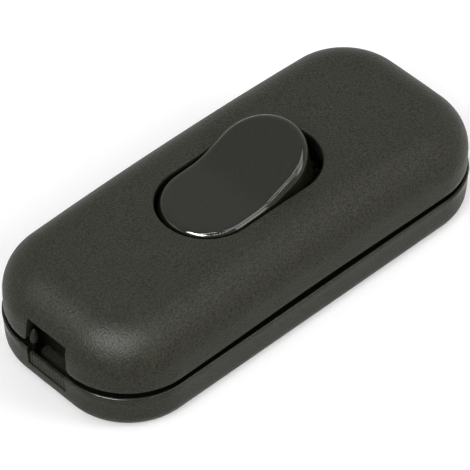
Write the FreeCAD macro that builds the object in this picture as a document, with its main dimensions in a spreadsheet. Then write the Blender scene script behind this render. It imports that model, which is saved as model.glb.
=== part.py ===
import FreeCAD, Part
import math
import os
import Sketcher

# Inline cord switch: a two-pole rocker switch in a small oblong housing that a lamp cord runs through.
# The frame stands at the middle of the underside. X runs along the cord, Z is up, all in millimetres.
# At rest the rocker is pressed down at its -X end, and both contact levers are closed at the +X end.

doc = FreeCAD.newDocument("inline_cord_switch")

# Driving dimensions, each one settable by itself
SIZES = {
    # Cover, the upper shell
    "cover_length": 62.0,
    "cover_width": 26.8,
    "cover_corner": 9.1,
    "total_height": 14.7,
    "crown_drop": 1.1,
    "crown_side_drop": 0.35,
    "shoulder_round": 5.3,
    "shell_wall": 1.9,
    # Base, the lower shell
    "rim_height": 5.75,
    "seam_gap": 0.7,
    "rim_step": 0.2,
    "base_taper": 3.7,
    "base_round": 2.5,
    "floor_thickness": 1.8,
    # Lap joint between the shells
    "lap_depth": 1.0,
    "lap_height": 2.2,
    "lap_clearance": 0.12,
    "seam_groove_rim": 0.45,
    "seam_groove_depth": 0.8,
    # Cord entries
    "entry_width": 7.3,
    "entry_top": 10.25,
    "entry_top_width": 6.6,
    "web_width": 6.6,
    "web_bottom": 3.0,
    "web_top": 4.9,
    "web_thickness": 0.5,
    "web_recess": 0.3,
    "guide_peg_inset": 0.35,
    "guide_peg_depth": 1.1,
    "guide_peg_width": 0.4,
    "guide_peg_top": 7.8,
    "first_rib_top": 3.5,
    "second_rib_top": 3.5,
    "rib_thickness": 1.2,
    "rib_pitch": 2.6,
    # Cord clamps
    "saddle_top": 4.5,
    "tunnel_height": 4.6,
    "tunnel_half_width": 3.6,
    "clamp_thickness": 1.8,
    "clamp_length": 4.8,
    "clamp_seat": 6.0,
    "clamp_boss_radius": 2.3,
    "clamp_screw_shank": 2.6,
    "clamp_screw_head": 4.6,
    "clamp_screw_head_height": 1.7,
    "clamp_screw_length": 5.2,
    # Screws and pegs that join the shells
    "base_boss_radius": 3.2,
    "cover_boss_radius": 2.7,
    "case_screw_shank": 2.9,
    "case_screw_head": 5.0,
    "case_screw_head_height": 1.8,
    "case_screw_length": 8.6,
    "counterbore_depth": 2.4,
    "locating_peg": 2.4,
    "locating_peg_length": 2.4,
    "screw_clearance": 0.05,
    "head_side_share": 0.6,
    "head_dome_share": 1.2,
    "head_slot_floor_share": 0.4,
    "head_slot_width_share": 0.2,
    "part_clearance": 0.3,
    # How far a cutting profile runs past the solid
    "past": 1.0,
    # Rocker
    "rocker_length": 20.5,
    "rocker_width": 12.2,
    "rocker_tilt": 12.75,
    "rocker_valley": 10.5,
    "valley_round": 8.5,
    "rocker_rise": 3.85,
    "rocker_skirt": 1.5,
    "rocker_wall": 1.4,
    "rocker_edge_round": 0.95,
    "rocker_side_gap": 0.3,
    "rocker_end_gap": 0.3,
    "pivot_drop": 3.5,
    "trunnion_radius": 1.35,
    "trunnion_clearance": 0.12,
    "ear_thickness": 2.0,
    "ear_setback": 0.05,
    "ear_mouth_share": 1.7,
    "ear_wall": 1.6,
    # Plungers and their springs
    "lane_offset": 2.9,
    "plunger_diameter": 2.4,
    "plunger_clearance": 0.15,
    "plunger_length": 3.6,
    "plunger_reach": 4.65,
    "tube_wall": 0.75,
    "tube_drop": 2.9,
    "spring_wire": 0.35,
    "spring_turns": 5.0,
    "spring_play": 0.05,
    # Contact levers and brass strips
    "lever_tilt": 6.0,
    "lever_half_length": 7.1,
    "lever_width": 3.4,
    "lever_thickness": 0.8,
    "lever_play": 0.05,
    "knife_height": 5.2,
    "knife_thickness": 0.8,
    "notch_depth": 0.65,
    "notch_width": 1.1,
    "contact_reach": 6.0,
    "contact_radius": 1.2,
    "contact_head": 0.7,
    "contact_tail": 0.35,
    "contact_tail_share": 0.8,
    "contact_dome_share": 3.0,
    "contact_gap": 0.1,
    "strip_bottom": 2.4,
    "strip_thickness": 1.0,
    "terminal_gap": 0.16,
    "terminal_y": 5.8,
    "terminal_pad": 5.8,
    "terminal_screw_shank": 2.9,
    "terminal_screw_head": 5.0,
    "terminal_screw_head_height": 1.8,
    "wire_plate": 5.4,
    "wire_plate_thickness": 0.8,
    "stop_post": 1.6,
    "barrier_thickness": 1.2,
    "barrier_top": 6.3,
}

# Places and sizes that follow from the driving dimensions
RULES = {
    "end_x": "sizes.cover_length / 2",
    "seam_top": "sizes.rim_height + sizes.seam_gap",
    "lap_top": "sizes.rim_height + sizes.lap_height",
    "cavity_length": "sizes.cover_length - 2 * sizes.shell_wall",
    "cavity_width": "sizes.cover_width - 2 * sizes.shell_wall",
    "cavity_corner": "sizes.cover_corner - sizes.shell_wall",
    "roof": "sizes.total_height - sizes.shell_wall",
    "pivot_z": "sizes.total_height - sizes.pivot_drop",
    "rim_half_length": "sizes.cover_length / 2 + sizes.rim_step",
    # A case boss sits on the diagonal of its corner, clear of the lap joint
    "boss_inset": "(sizes.cover_corner - sizes.shell_wall - sizes.cover_boss_radius"
                  " - 1.5 * sizes.part_clearance) / sqrt(2)",
    "boss_x": "sizes.cover_length / 2 - sizes.cover_corner + rules.boss_inset",
    "boss_y": "sizes.cover_width / 2 - sizes.cover_corner + rules.boss_inset",
    # The clamp stands beside the case bosses
    "clamp_x": "rules.boss_x - sizes.base_boss_radius - sizes.clamp_length / 2 - sizes.part_clearance",
    "terminal_x": "rules.clamp_x - sizes.clamp_length / 2 - sizes.terminal_pad / 2 - sizes.terminal_gap",
    "clamp_foot_y": "sizes.tunnel_half_width + sizes.clamp_thickness",
    "clamp_screw_y": "rules.clamp_foot_y + sizes.clamp_screw_head / 2 + sizes.part_clearance",
    "clamp_end_y": "rules.clamp_screw_y + sizes.clamp_boss_radius",
    "tunnel_top": "sizes.saddle_top + sizes.tunnel_height",
    # Rocker and its opening
    "rocker_half": "sizes.rocker_length / 2",
    "valley_apex": "sizes.rocker_rise - sizes.valley_round * (1 / cos(sizes.rocker_valley) - 1)",
    "rocker_end_rise": "rules.valley_apex + rules.rocker_half * tan(sizes.rocker_valley)",
    "rocker_reach": "rules.rocker_half * cos(sizes.rocker_tilt)"
                    " + rules.rocker_end_rise * sin(sizes.rocker_tilt)",
    "opening_length": "2 * (rules.rocker_reach + sizes.rocker_end_gap)",
    "opening_width": "sizes.rocker_width + 2 * sizes.rocker_side_gap",
    "ear_inner": "rules.opening_width / 2 + sizes.ear_setback",
    "ear_outer": "rules.ear_inner + sizes.ear_thickness",
    "trunnion_end": "rules.ear_outer - 0.5 * sizes.part_clearance",
    "ear_half": "sizes.trunnion_radius + sizes.ear_wall",
    "bore_radius": "sizes.plunger_diameter / 2 + sizes.plunger_clearance",
    "tube_radius": "rules.bore_radius + sizes.tube_wall",
    "bore_top": "rules.valley_apex - sizes.rocker_wall",
    "plunger_top": "-sizes.plunger_reach + sizes.plunger_length",
    "coil_radius": "rules.bore_radius - sizes.plunger_clearance - sizes.spring_wire",
    "coil_height": "rules.bore_top - rules.plunger_top - sizes.spring_wire - sizes.spring_play",
    # Lever heights, in the lever's own frame with its origin on the knife edge's axis
    "lever_bottom": "sizes.knife_thickness / 2 + sizes.lever_play",
    "lever_top": "rules.lever_bottom + sizes.lever_thickness",
    "contact_face": "rules.lever_bottom - sizes.contact_head",
    # Heights of what the lever comes down on
    "fixed_contact_x": "sizes.contact_reach * cos(sizes.lever_tilt)"
                       " + rules.contact_face * sin(sizes.lever_tilt)",
    "fixed_contact_top": "sizes.knife_height - sizes.contact_reach * sin(sizes.lever_tilt)"
                         " + rules.contact_face * cos(sizes.lever_tilt)"
                         " - sizes.contact_dome_share * sizes.contact_radius * (1 - cos(sizes.lever_tilt))"
                         " - sizes.contact_gap",
    # How deep a contact's domed face is
    "contact_dome": "sizes.contact_radius * (sizes.contact_dome_share"
                    " - sqrt(sizes.contact_dome_share ^ 2 - 1))",
    "stop_top": "sizes.knife_height - (sizes.contact_reach + sizes.stop_post / 2)"
                " * sin(sizes.lever_tilt) + rules.lever_bottom * cos(sizes.lever_tilt)"
                " - sizes.contact_gap",
    "strip_top": "sizes.strip_bottom + sizes.strip_thickness",
    "wire_plate_top": "rules.strip_top + sizes.wire_plate_thickness",
    "strip_outer_x": "rules.terminal_x + sizes.terminal_pad / 2",
    "strip_inner_x": "rules.terminal_x - sizes.terminal_pad / 2",
    "load_strip_start": "rules.fixed_contact_x - sizes.contact_radius - sizes.part_clearance",
}


def fill_sheet(name, cells):
    """Put each named value in its own cell of a new sheet, with the name as its alias."""
    sheet = doc.addObject("Spreadsheet::Sheet", name)
    for row, (alias, content) in enumerate(cells.items(), start=1):
        sheet.set("A%d" % row, alias)
        sheet.set("B%d" % row, content)
        sheet.setAlias("B%d" % row, alias)
    return sheet


fill_sheet("sizes", {alias: repr(number) for alias, number in SIZES.items()})
rule_sheet = fill_sheet("rules", {alias: "=" + rule.replace("rules.", "") for alias, rule in RULES.items()})
doc.recompute()

# Every subtractive feature, so that its effect can be checked after the build
cuts = []


def value(rule):
    """Work out a rule as a plain number."""
    result = rule_sheet.evalExpression(rule)
    return float(getattr(result, "Value", result))


def body(label):
    """Start a sub-part."""
    new = doc.addObject("PartDesign::Body", label)
    new.Label = label
    return new


# Where a profile starts so that a pad along its normal runs from low to high
START = {"XY_Plane": "%(low)s", "YZ_Plane": "%(low)s", "XZ_Plane": "-(%(high)s)"}


class Profile:
    """A sketch on one of a body's origin planes, for a prism that runs from low to high."""

    def __init__(self, owner, plane, low, high, x="0", y="0"):
        self.owner = owner
        self.length = "(%s) - (%s)" % (high, low)
        self.sketch = owner.newObject("Sketcher::SketchObject", owner.Label + "_sketch")
        support = next(item for item in owner.Origin.OriginFeatures if item.Role == plane)
        self.sketch.AttachmentSupport = [(support, "")]
        self.sketch.MapMode = "FlatFace"
        start = START[plane] % {"low": low, "high": high}
        for axis, rule in zip("xyz", (x, y, start)):
            self.sketch.setExpression(".AttachmentOffset.Base." + axis, rule)

    def bind(self, kind, rule, *geometry):
        """Add one dimension to the sketch and tie it to a rule."""
        index = self.sketch.addConstraint(Sketcher.Constraint(kind, *geometry, value(rule)))
        self.sketch.setExpression("Constraints[%d]" % index, rule)

    def circle(self, radius, x="0", y="0"):
        """Draw a circle."""
        centre = FreeCAD.Vector(value(x), value(y), 0)
        up = FreeCAD.Vector(0, 0, 1)
        index = self.sketch.addGeometry(Part.Circle(centre, up, value(radius)))
        self.bind("Radius", radius, index)
        self.bind("DistanceX", x, -1, 1, index, 3)
        self.bind("DistanceY", y, -1, 1, index, 3)
        return self

    def outline(self, corners):
        """Draw a closed outline. A corner is (x, y), or (x, y, radius) where an arc leaves it.

        An arc with a positive radius bulges to the right of its direction of travel."""
        points = [FreeCAD.Vector(value(corner[0]), value(corner[1]), 0) for corner in corners]
        for number, corner in enumerate(corners):
            start = points[number]
            end = points[(number + 1) % len(points)]
            if len(corner) == 2:
                self.sketch.addGeometry(Part.LineSegment(start, end))
                continue
            radius = value(corner[2])
            half = (end - start) * 0.5
            right = FreeCAD.Vector(half.y, -half.x, 0).normalize()
            depth = abs(radius) - math.sqrt(max(0.0, radius * radius - half.Length ** 2))
            crest = start + half + right * math.copysign(depth, radius)
            self.sketch.addGeometry(Part.ArcOfCircle(start, crest, end))
        count = len(corners)
        for number, corner in enumerate(corners):
            first_end = self.end_at(number, points[(number + 1) % count])
            next_start = self.end_at((number + 1) % count, points[(number + 1) % count])
            self.sketch.addConstraint(Sketcher.Constraint(
                "Coincident", number, first_end, (number + 1) % count, next_start))
        for number, corner in enumerate(corners):
            at = self.end_at(number, points[number])
            self.bind("DistanceX", corner[0], -1, 1, number, at)
            self.bind("DistanceY", corner[1], -1, 1, number, at)
            if len(corner) == 3:
                self.bind("Radius", "abs(%s)" % corner[2], number)
        return self

    def end_at(self, edge_number, point):
        """Which end of a drawn edge lies at a point: 1 its start, 2 its end."""
        edge = self.sketch.Geometry[edge_number]
        return 1 if edge.StartPoint.distanceToPoint(point) < edge.EndPoint.distanceToPoint(point) else 2

    def rectangle(self, width, height):
        """Draw a rectangle centred on the sketch."""
        left = "-(%s) / 2" % width
        right = "(%s) / 2" % width
        low = "-(%s) / 2" % height
        high = "(%s) / 2" % height
        return self.outline([(left, low), (right, low), (right, high), (left, high)])

    def rounded(self, width, height, corner):
        """Draw a rectangle with round corners, centred on the sketch."""
        x = "(%s) / 2" % width
        y = "(%s) / 2" % height
        flat_x = "(%s - (%s))" % (x, corner)
        flat_y = "(%s - (%s))" % (y, corner)
        return self.outline([
            ("-" + flat_x, "-" + y), (flat_x, "-" + y, corner),
            (x, "-" + flat_y), (x, flat_y, corner),
            (flat_x, y), ("-" + flat_x, y, corner),
            ("-" + x, flat_y), ("-" + x, "-" + flat_y, corner)])

    def stadium(self, length, width):
        """Draw a slot with round ends, centred on the sketch."""
        tip = "(%s) / 2" % length
        side = "(%s) / 2" % width
        end = "(%s - %s)" % (tip, side)
        return self.outline([
            ("-" + end, "-" + side), (end, "-" + side, side), (tip, "0", side),
            (end, side), ("-" + end, side, side), ("-" + tip, "0", side)])

    def add(self):
        """Pad the profile."""
        pad = self.owner.newObject("PartDesign::Pad", self.owner.Label + "_pad")
        pad.Profile = self.sketch
        pad.setExpression("Length", self.length)
        self.sketch.Visibility = False
        return pad

    def cut(self):
        """Pocket the profile, the same way as a pad would grow."""
        pocket = self.owner.newObject("PartDesign::Pocket", self.owner.Label + "_pocket")
        pocket.Profile = self.sketch
        pocket.Reversed = True
        pocket.setExpression("Length", self.length)
        self.sketch.Visibility = False
        cuts.append(pocket)
        return pocket


def round_edges(owner, radius, belongs):
    """Fillet the edges of a body whose every sample point passes the test."""
    doc.recompute()
    names = []
    for number, edge in enumerate(owner.Tip.Shape.Edges, start=1):
        samples = [edge.valueAt(at) for at in
                   (edge.FirstParameter, (edge.FirstParameter + edge.LastParameter) / 2, edge.LastParameter)]
        if all(belongs(point) for point in samples):
            names.append("Edge%d" % number)
    fillet = owner.newObject("PartDesign::Fillet", owner.Label + "_fillet")
    fillet.Base = (fillet.BaseFeature, names)
    fillet.setExpression("Radius", radius)
    return fillet


def subtract(owner, tool):
    """Take one body out of another."""
    boolean = owner.newObject("PartDesign::Boolean", owner.Label + "_hollow")
    boolean.Type = "Cut"
    boolean.setObjects([tool])
    cuts.append(boolean)
    return boolean


def place(item, z, angle="0", y="0"):
    """Put a sub-part at its height and turn it about the Y axis."""
    item.Placement.Rotation = FreeCAD.Rotation(FreeCAD.Vector(0, 1, 0), 1)
    item.setExpression(".Placement.Base.y", y)
    item.setExpression(".Placement.Base.z", z)
    item.setExpression(".Placement.Rotation.Angle", angle)


def mirror(source, normal, label):
    """Make the mirror image of a sub-part across the middle of the switch."""
    image = doc.addObject("Part::Mirroring", label)
    image.Label = label
    image.Source = source
    image.Normal = normal
    return image


ACROSS_X = FreeCAD.Vector(1, 0, 0)
ACROSS_Y = FreeCAD.Vector(0, 1, 0)


def group(label, items):
    """Keep identical solids together as one sub-part."""
    compound = doc.addObject("Part::Compound", label)
    compound.Label = label
    compound.Links = items
    return compound


def crowned_block(label, length, width, corner, bottom, top, crown_shift, shoulder):
    """A rounded block whose top is crowned both ways and whose shoulder is rounded."""
    block = body(label)
    tall = "(%s) + sizes.crown_drop" % top
    Profile(block, "XY_Plane", bottom, tall).rounded(length, width, corner).add()
    # The crown is cut by a long arc swung about a far axis below, parallel to X
    side_radius = "((sizes.cover_width / 2) ^ 2 / (2 * sizes.crown_side_drop) - %s)" % crown_shift
    long_radius = "((sizes.cover_length / 2) ^ 2 / (2 * sizes.crown_drop) - %s)" % crown_shift
    half_span = "(sizes.cover_length / 2 + 1)"
    sag = "(%s - sqrt(%s ^ 2 - %s ^ 2))" % (long_radius, long_radius, half_span)
    swing = Profile(block, "XZ_Plane", "0", "0", y="%s - %s" % (top, side_radius))
    low = "%s - %s" % (side_radius, sag)
    high = "%s + 3 * sizes.crown_drop" % side_radius
    swing.outline([(half_span, low, long_radius), ("-" + half_span, low),
                   ("-" + half_span, high), (half_span, high)])
    groove = block.newObject("PartDesign::Groove", label + "_crown")
    groove.Profile = swing.sketch
    groove.ReferenceAxis = (swing.sketch, ["H_Axis"])
    groove.Midplane = True
    groove.setExpression("Angle", "2.4 * atan(sizes.cover_width / 2 / %s)" % side_radius)
    cuts.append(groove)
    lowest_top = value(top) - value("sizes.crown_drop + sizes.crown_side_drop") - 0.2
    inner_x = value("%s / 2" % length) - value(corner)
    inner_y = value("%s / 2" % width) - value(corner)

    def on_top_rim(point):
        reach = math.hypot(max(0.0, abs(point.x) - inner_x), max(0.0, abs(point.y) - inner_y))
        return point.z > lowest_top and abs(reach - value(corner)) < 0.01

    round_edges(block, shoulder, on_top_rim)
    return block


# Cover: a crowned shell, open below
cover = crowned_block("cover", "sizes.cover_length", "sizes.cover_width", "sizes.cover_corner",
                      "rules.seam_top", "sizes.total_height", "0", "sizes.shoulder_round")
cover_core = crowned_block("cover_core", "rules.cavity_length", "rules.cavity_width",
                           "rules.cavity_corner", "rules.seam_top - sizes.past", "rules.roof",
                           "sizes.shell_wall", "sizes.shoulder_round - sizes.shell_wall")
subtract(cover, cover_core)
# The rebate that laps over the base's lip
Profile(cover, "XY_Plane", "rules.seam_top - sizes.past", "rules.lap_top + sizes.part_clearance").rounded(
    "sizes.cover_length - 2 * sizes.lap_depth", "sizes.cover_width - 2 * sizes.lap_depth",
    "sizes.cover_corner - sizes.lap_depth").cut()
Profile(cover, "XY_Plane", "rules.seam_top", "sizes.total_height + sizes.past").stadium(
    "rules.opening_length", "rules.opening_width").cut()
# Cord entries, cut through both ends at once, with jambs that lean in towards the top
entry_side = "sizes.entry_width / 2"
entry_top_side = "sizes.entry_top_width / 2"
Profile(cover, "YZ_Plane", "-rules.end_x - sizes.past", "rules.end_x + sizes.past").outline([
    ("-" + entry_side, "rules.seam_top - sizes.past"), (entry_side, "rules.seam_top - sizes.past"),
    (entry_side, "rules.seam_top"), (entry_top_side, "sizes.entry_top"),
    ("-" + entry_top_side, "sizes.entry_top"), ("-" + entry_side, "rules.seam_top")]).cut()
# Ears with snap-in bearings for the rocker's trunnions
for low, high in (("rules.ear_inner", "rules.ear_outer"), ("-rules.ear_outer", "-rules.ear_inner")):
    Profile(cover, "XZ_Plane", low, high).outline([
        ("-rules.ear_half", "rules.pivot_z", "rules.ear_half"),
        ("0", "rules.pivot_z - rules.ear_half", "rules.ear_half"),
        ("rules.ear_half", "rules.pivot_z"),
        ("rules.ear_half", "rules.roof + sizes.part_clearance"),
        ("-rules.ear_half", "rules.roof + sizes.part_clearance")]).add()
Profile(cover, "XZ_Plane", "-rules.ear_outer - sizes.past", "rules.ear_outer + sizes.past").circle(
    "sizes.trunnion_radius + sizes.trunnion_clearance", y="rules.pivot_z").cut()
Profile(cover, "XZ_Plane", "-rules.ear_outer - sizes.past", "rules.ear_outer + sizes.past",
        y="rules.pivot_z - rules.ear_half").rectangle(
    "sizes.ear_mouth_share * sizes.trunnion_radius", "2 * rules.ear_half - 2 * sizes.trunnion_radius").cut()
# Four bosses, two for screws and two with locating pegs, on opposite diagonals
SCREW_CORNERS = (("-rules.boss_x", "rules.boss_y"), ("rules.boss_x", "-rules.boss_y"))
PEG_CORNERS = (("-rules.boss_x", "-rules.boss_y"), ("rules.boss_x", "rules.boss_y"))
boss_head = "rules.roof - sizes.crown_drop + 0.5 * sizes.shell_wall"
for x, y in SCREW_CORNERS + PEG_CORNERS:
    Profile(cover, "XY_Plane", "rules.seam_top", boss_head).circle("sizes.cover_boss_radius", x, y).add()
for x, y in SCREW_CORNERS:
    Profile(cover, "XY_Plane", "rules.seam_top - sizes.past",
            "sizes.counterbore_depth + sizes.case_screw_length + sizes.part_clearance").circle(
        "sizes.case_screw_shank / 2 + sizes.screw_clearance", x, y).cut()
for x, y in PEG_CORNERS:
    Profile(cover, "XY_Plane", "rules.seam_top - sizes.locating_peg_length",
            "rules.seam_top + sizes.past").circle("sizes.locating_peg / 2", x, y).add()

# Base: a tapered tray with a lip that the cover laps over
base = body("base")
tray = Profile(base, "XY_Plane", "sizes.rim_height", "2 * sizes.rim_height").rounded(
    "sizes.cover_length + 2 * sizes.rim_step", "sizes.cover_width + 2 * sizes.rim_step",
    "sizes.cover_corner + sizes.rim_step").add()
tray.Reversed = True
tray.setExpression("TaperAngle", "-sizes.base_taper")
round_edges(base, "sizes.base_round", lambda point: point.z < 0.01)
# A groove just inside the rim leaves a dark line along the seam, and the lip stands up behind it
Profile(base, "XY_Plane", "sizes.rim_height - sizes.seam_groove_depth",
        "sizes.rim_height + sizes.past").rounded(
    "sizes.cover_length + 2 * sizes.rim_step - 2 * sizes.seam_groove_rim",
    "sizes.cover_width + 2 * sizes.rim_step - 2 * sizes.seam_groove_rim",
    "sizes.cover_corner + sizes.rim_step - sizes.seam_groove_rim").cut()
Profile(base, "XY_Plane", "sizes.rim_height - sizes.seam_groove_depth - sizes.part_clearance",
        "rules.lap_top").rounded(
    "sizes.cover_length - 2 * sizes.lap_depth - 2 * sizes.lap_clearance",
    "sizes.cover_width - 2 * sizes.lap_depth - 2 * sizes.lap_clearance",
    "sizes.cover_corner - sizes.lap_depth - sizes.lap_clearance").add()
Profile(base, "XY_Plane", "sizes.floor_thickness", "rules.lap_top + sizes.past").rounded(
    "rules.cavity_length", "rules.cavity_width", "rules.cavity_corner").cut()
# The lip stops short of the cord entries, and the wall below them is a thin break-out web
Profile(base, "YZ_Plane", "-rules.end_x - sizes.past", "rules.end_x + sizes.past",
        y="sizes.rim_height + sizes.lap_height").rectangle(
    "sizes.entry_width + 2 * sizes.part_clearance", "2 * sizes.lap_height").cut()
Profile(base, "YZ_Plane", "-rules.end_x - sizes.past", "rules.end_x + sizes.past",
        y="sizes.web_bottom + sizes.rim_height").rectangle(
    "sizes.web_width", "2 * sizes.rim_height").cut()
web_centre = "(rules.rim_half_length - sizes.web_recess - sizes.web_thickness / 2)"
rib_x = "(rules.end_x - sizes.shell_wall - sizes.rib_thickness)"
peg_x = "(rules.end_x - sizes.guide_peg_inset - sizes.guide_peg_depth / 2)"
peg_y = "(sizes.entry_width / 2 - sizes.part_clearance - sizes.guide_peg_width / 2)"
sunk = "sizes.floor_thickness - sizes.part_clearance"
for side in ("", "-"):
    Profile(base, "XY_Plane", "sizes.web_bottom - 0.5 * sizes.past", "sizes.web_top",
            x=side + web_centre).rectangle("sizes.web_thickness", "sizes.web_width + 0.2").add()
    Profile(base, "XY_Plane", sunk, "sizes.first_rib_top", x=side + rib_x).rectangle(
        "sizes.rib_thickness", "2 * sizes.tunnel_half_width").add()
    Profile(base, "XY_Plane", sunk, "sizes.second_rib_top",
            x="%s(%s - sizes.rib_pitch)" % (side, rib_x)).rectangle(
        "sizes.rib_thickness", "2 * sizes.tunnel_half_width").add()
    Profile(base, "XY_Plane", sunk, "sizes.saddle_top", x=side + "rules.clamp_x").rectangle(
        "sizes.clamp_length - 2 * sizes.part_clearance", "2 * rules.clamp_foot_y").add()
    # Round-topped guide pegs at the jambs of the entry
    for jamb in ("", "-"):
        half = "sizes.guide_peg_depth / 2"
        foot = "sizes.web_bottom - sizes.past"
        neck = "sizes.guide_peg_top - sizes.guide_peg_depth / 2"
        Profile(base, "XZ_Plane", "%s%s - sizes.guide_peg_width / 2" % (jamb, peg_y),
                "%s%s + sizes.guide_peg_width / 2" % (jamb, peg_y), x=side + peg_x).outline([
            ("-" + half, foot), (half, foot), (half, neck, half),
            ("0", "sizes.guide_peg_top", half), ("-" + half, neck)]).add()
for x, y in SCREW_CORNERS + PEG_CORNERS:
    Profile(base, "XY_Plane", sunk, "rules.seam_top").circle("sizes.base_boss_radius", x, y).add()
for side_x in ("", "-"):
    for side_y in ("", "-"):
        x = side_x + "rules.clamp_x"
        y = side_y + "rules.clamp_screw_y"
        Profile(base, "XY_Plane", sunk, "sizes.clamp_seat").circle("sizes.clamp_boss_radius", x, y).add()
        Profile(base, "XY_Plane",
                "sizes.clamp_seat + sizes.clamp_thickness - sizes.clamp_screw_length"
                " - sizes.part_clearance", "sizes.clamp_seat + sizes.past").circle(
            "sizes.clamp_screw_shank / 2 + sizes.screw_clearance", x, y).cut()
        Profile(base, "XY_Plane", sunk, "sizes.strip_bottom", x=side_x + "rules.terminal_x",
                y=side_y + "sizes.terminal_y").rectangle(
            "sizes.terminal_pad - 2 * sizes.part_clearance",
            "sizes.terminal_pad - 2 * sizes.part_clearance").add()
        Profile(base, "XY_Plane", "sizes.floor_thickness - sizes.past",
                "sizes.strip_bottom + sizes.past").circle(
            "sizes.terminal_screw_shank / 2 + sizes.screw_clearance",
            side_x + "rules.terminal_x", side_y + "sizes.terminal_y").cut()
for x, y in SCREW_CORNERS:
    Profile(base, "XY_Plane", "-1", "sizes.counterbore_depth").circle(
        "sizes.case_screw_head / 2 + sizes.part_clearance", x, y).cut()
    Profile(base, "XY_Plane", "sizes.counterbore_depth - sizes.past", "rules.seam_top + sizes.past").circle(
        "sizes.case_screw_shank / 2 + 0.5 * sizes.part_clearance", x, y).cut()
for x, y in PEG_CORNERS:
    Profile(base, "XY_Plane",
            "rules.seam_top - sizes.locating_peg_length - sizes.part_clearance",
            "rules.seam_top + sizes.past").circle(
        "sizes.locating_peg / 2 + sizes.screw_clearance", x, y).cut()
# Inside the tray: a barrier between the poles, stops for the levers and seats for the strips
Profile(base, "XY_Plane", sunk, "sizes.barrier_top").rectangle(
    "2 * rules.terminal_x + sizes.terminal_pad / 2", "sizes.barrier_thickness").add()
for side_y in ("", "-"):
    lane = side_y + "sizes.lane_offset"
    Profile(base, "XY_Plane", sunk, "rules.stop_top", x="-sizes.contact_reach", y=lane).rectangle(
        "sizes.stop_post", "sizes.stop_post - sizes.part_clearance").add()
    Profile(base, "XY_Plane", sunk, "sizes.strip_bottom", x="-sizes.stop_post", y=lane).rectangle(
        "2 * sizes.stop_post", "sizes.lever_width - 2 * sizes.part_clearance").add()

# Rocker, in its own frame with the origin on its pivot
rocker = body("rocker")
block_top = "rules.rocker_end_rise + sizes.past"


def valley(owner, rise_shift, low, high):
    """Cut the shallow trough along the top, two slopes joined by an arc."""
    span = "(rules.rocker_half + 2)"
    slope = "tan(sizes.rocker_valley)"
    apex = "(rules.valley_apex - (%s))" % rise_shift
    arc = "(sizes.valley_round + (%s))" % rise_shift
    touch_x = "(%s * sin(sizes.rocker_valley))" % arc
    touch_z = "(%s + %s * %s)" % (apex, touch_x, slope)
    edge_z = "(%s + %s * %s)" % (apex, span, slope)
    lid_z = "(%s + 3)" % edge_z
    Profile(owner, "XZ_Plane", low, high).outline([
        ("-" + span, edge_z), ("-" + touch_x, touch_z, arc), (touch_x, touch_z),
        (span, edge_z), (span, lid_z), ("-" + span, lid_z)]).cut()


rocker_side = "sizes.rocker_width / 2"
Profile(rocker, "XY_Plane", "-sizes.rocker_skirt", block_top).stadium(
    "sizes.rocker_length", "sizes.rocker_width").add()
valley(rocker, "0", "-%s - 1" % rocker_side, "%s + 1" % rocker_side)
half_round = value("sizes.rocker_width / 2")
straight = value("sizes.rocker_length / 2") - half_round


def on_rocker_rim(point):
    reach = math.hypot(max(0.0, abs(point.x) - straight), point.y)
    return point.z > 1 and abs(reach - half_round) < 0.01


round_edges(rocker, "sizes.rocker_edge_round", on_rocker_rim)
rocker_core = body("rocker_core")
inner_side = "(sizes.rocker_width / 2 - sizes.rocker_wall)"
Profile(rocker_core, "XY_Plane", "-sizes.rocker_skirt - sizes.past", block_top).stadium(
    "sizes.rocker_length - 2 * sizes.rocker_wall", "sizes.rocker_width - 2 * sizes.rocker_wall").add()
valley(rocker_core, "sizes.rocker_wall", "-%s" % rocker_side, rocker_side)
subtract(rocker, rocker_core)
for lane in ("sizes.lane_offset", "-sizes.lane_offset"):
    Profile(rocker, "XY_Plane", "-sizes.tube_drop", "rules.bore_top + 0.5 * sizes.past").circle(
        "rules.tube_radius", y=lane).add()
    Profile(rocker, "XY_Plane", "-sizes.tube_drop - sizes.past", "rules.bore_top").circle(
        "rules.bore_radius", y=lane).cut()
for low, high in ((inner_side, "rules.trunnion_end"), ("-rules.trunnion_end", "-" + inner_side)):
    Profile(rocker, "XZ_Plane", low, high).circle("sizes.trunnion_radius").add()
place(rocker, "rules.pivot_z", "-sizes.rocker_tilt")


def turned(label, corners, x="0"):
    """A round piece, turned about an upright axis from half its outline."""
    piece = body(label)
    section = Profile(piece, "XZ_Plane", "0", "0", x=x)
    section.outline(corners)
    spin = piece.newObject("PartDesign::Revolution", label + "_turn")
    spin.Profile = section.sketch
    spin.ReferenceAxis = (section.sketch, ["V_Axis"])
    spin.Angle = 360
    return piece


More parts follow.
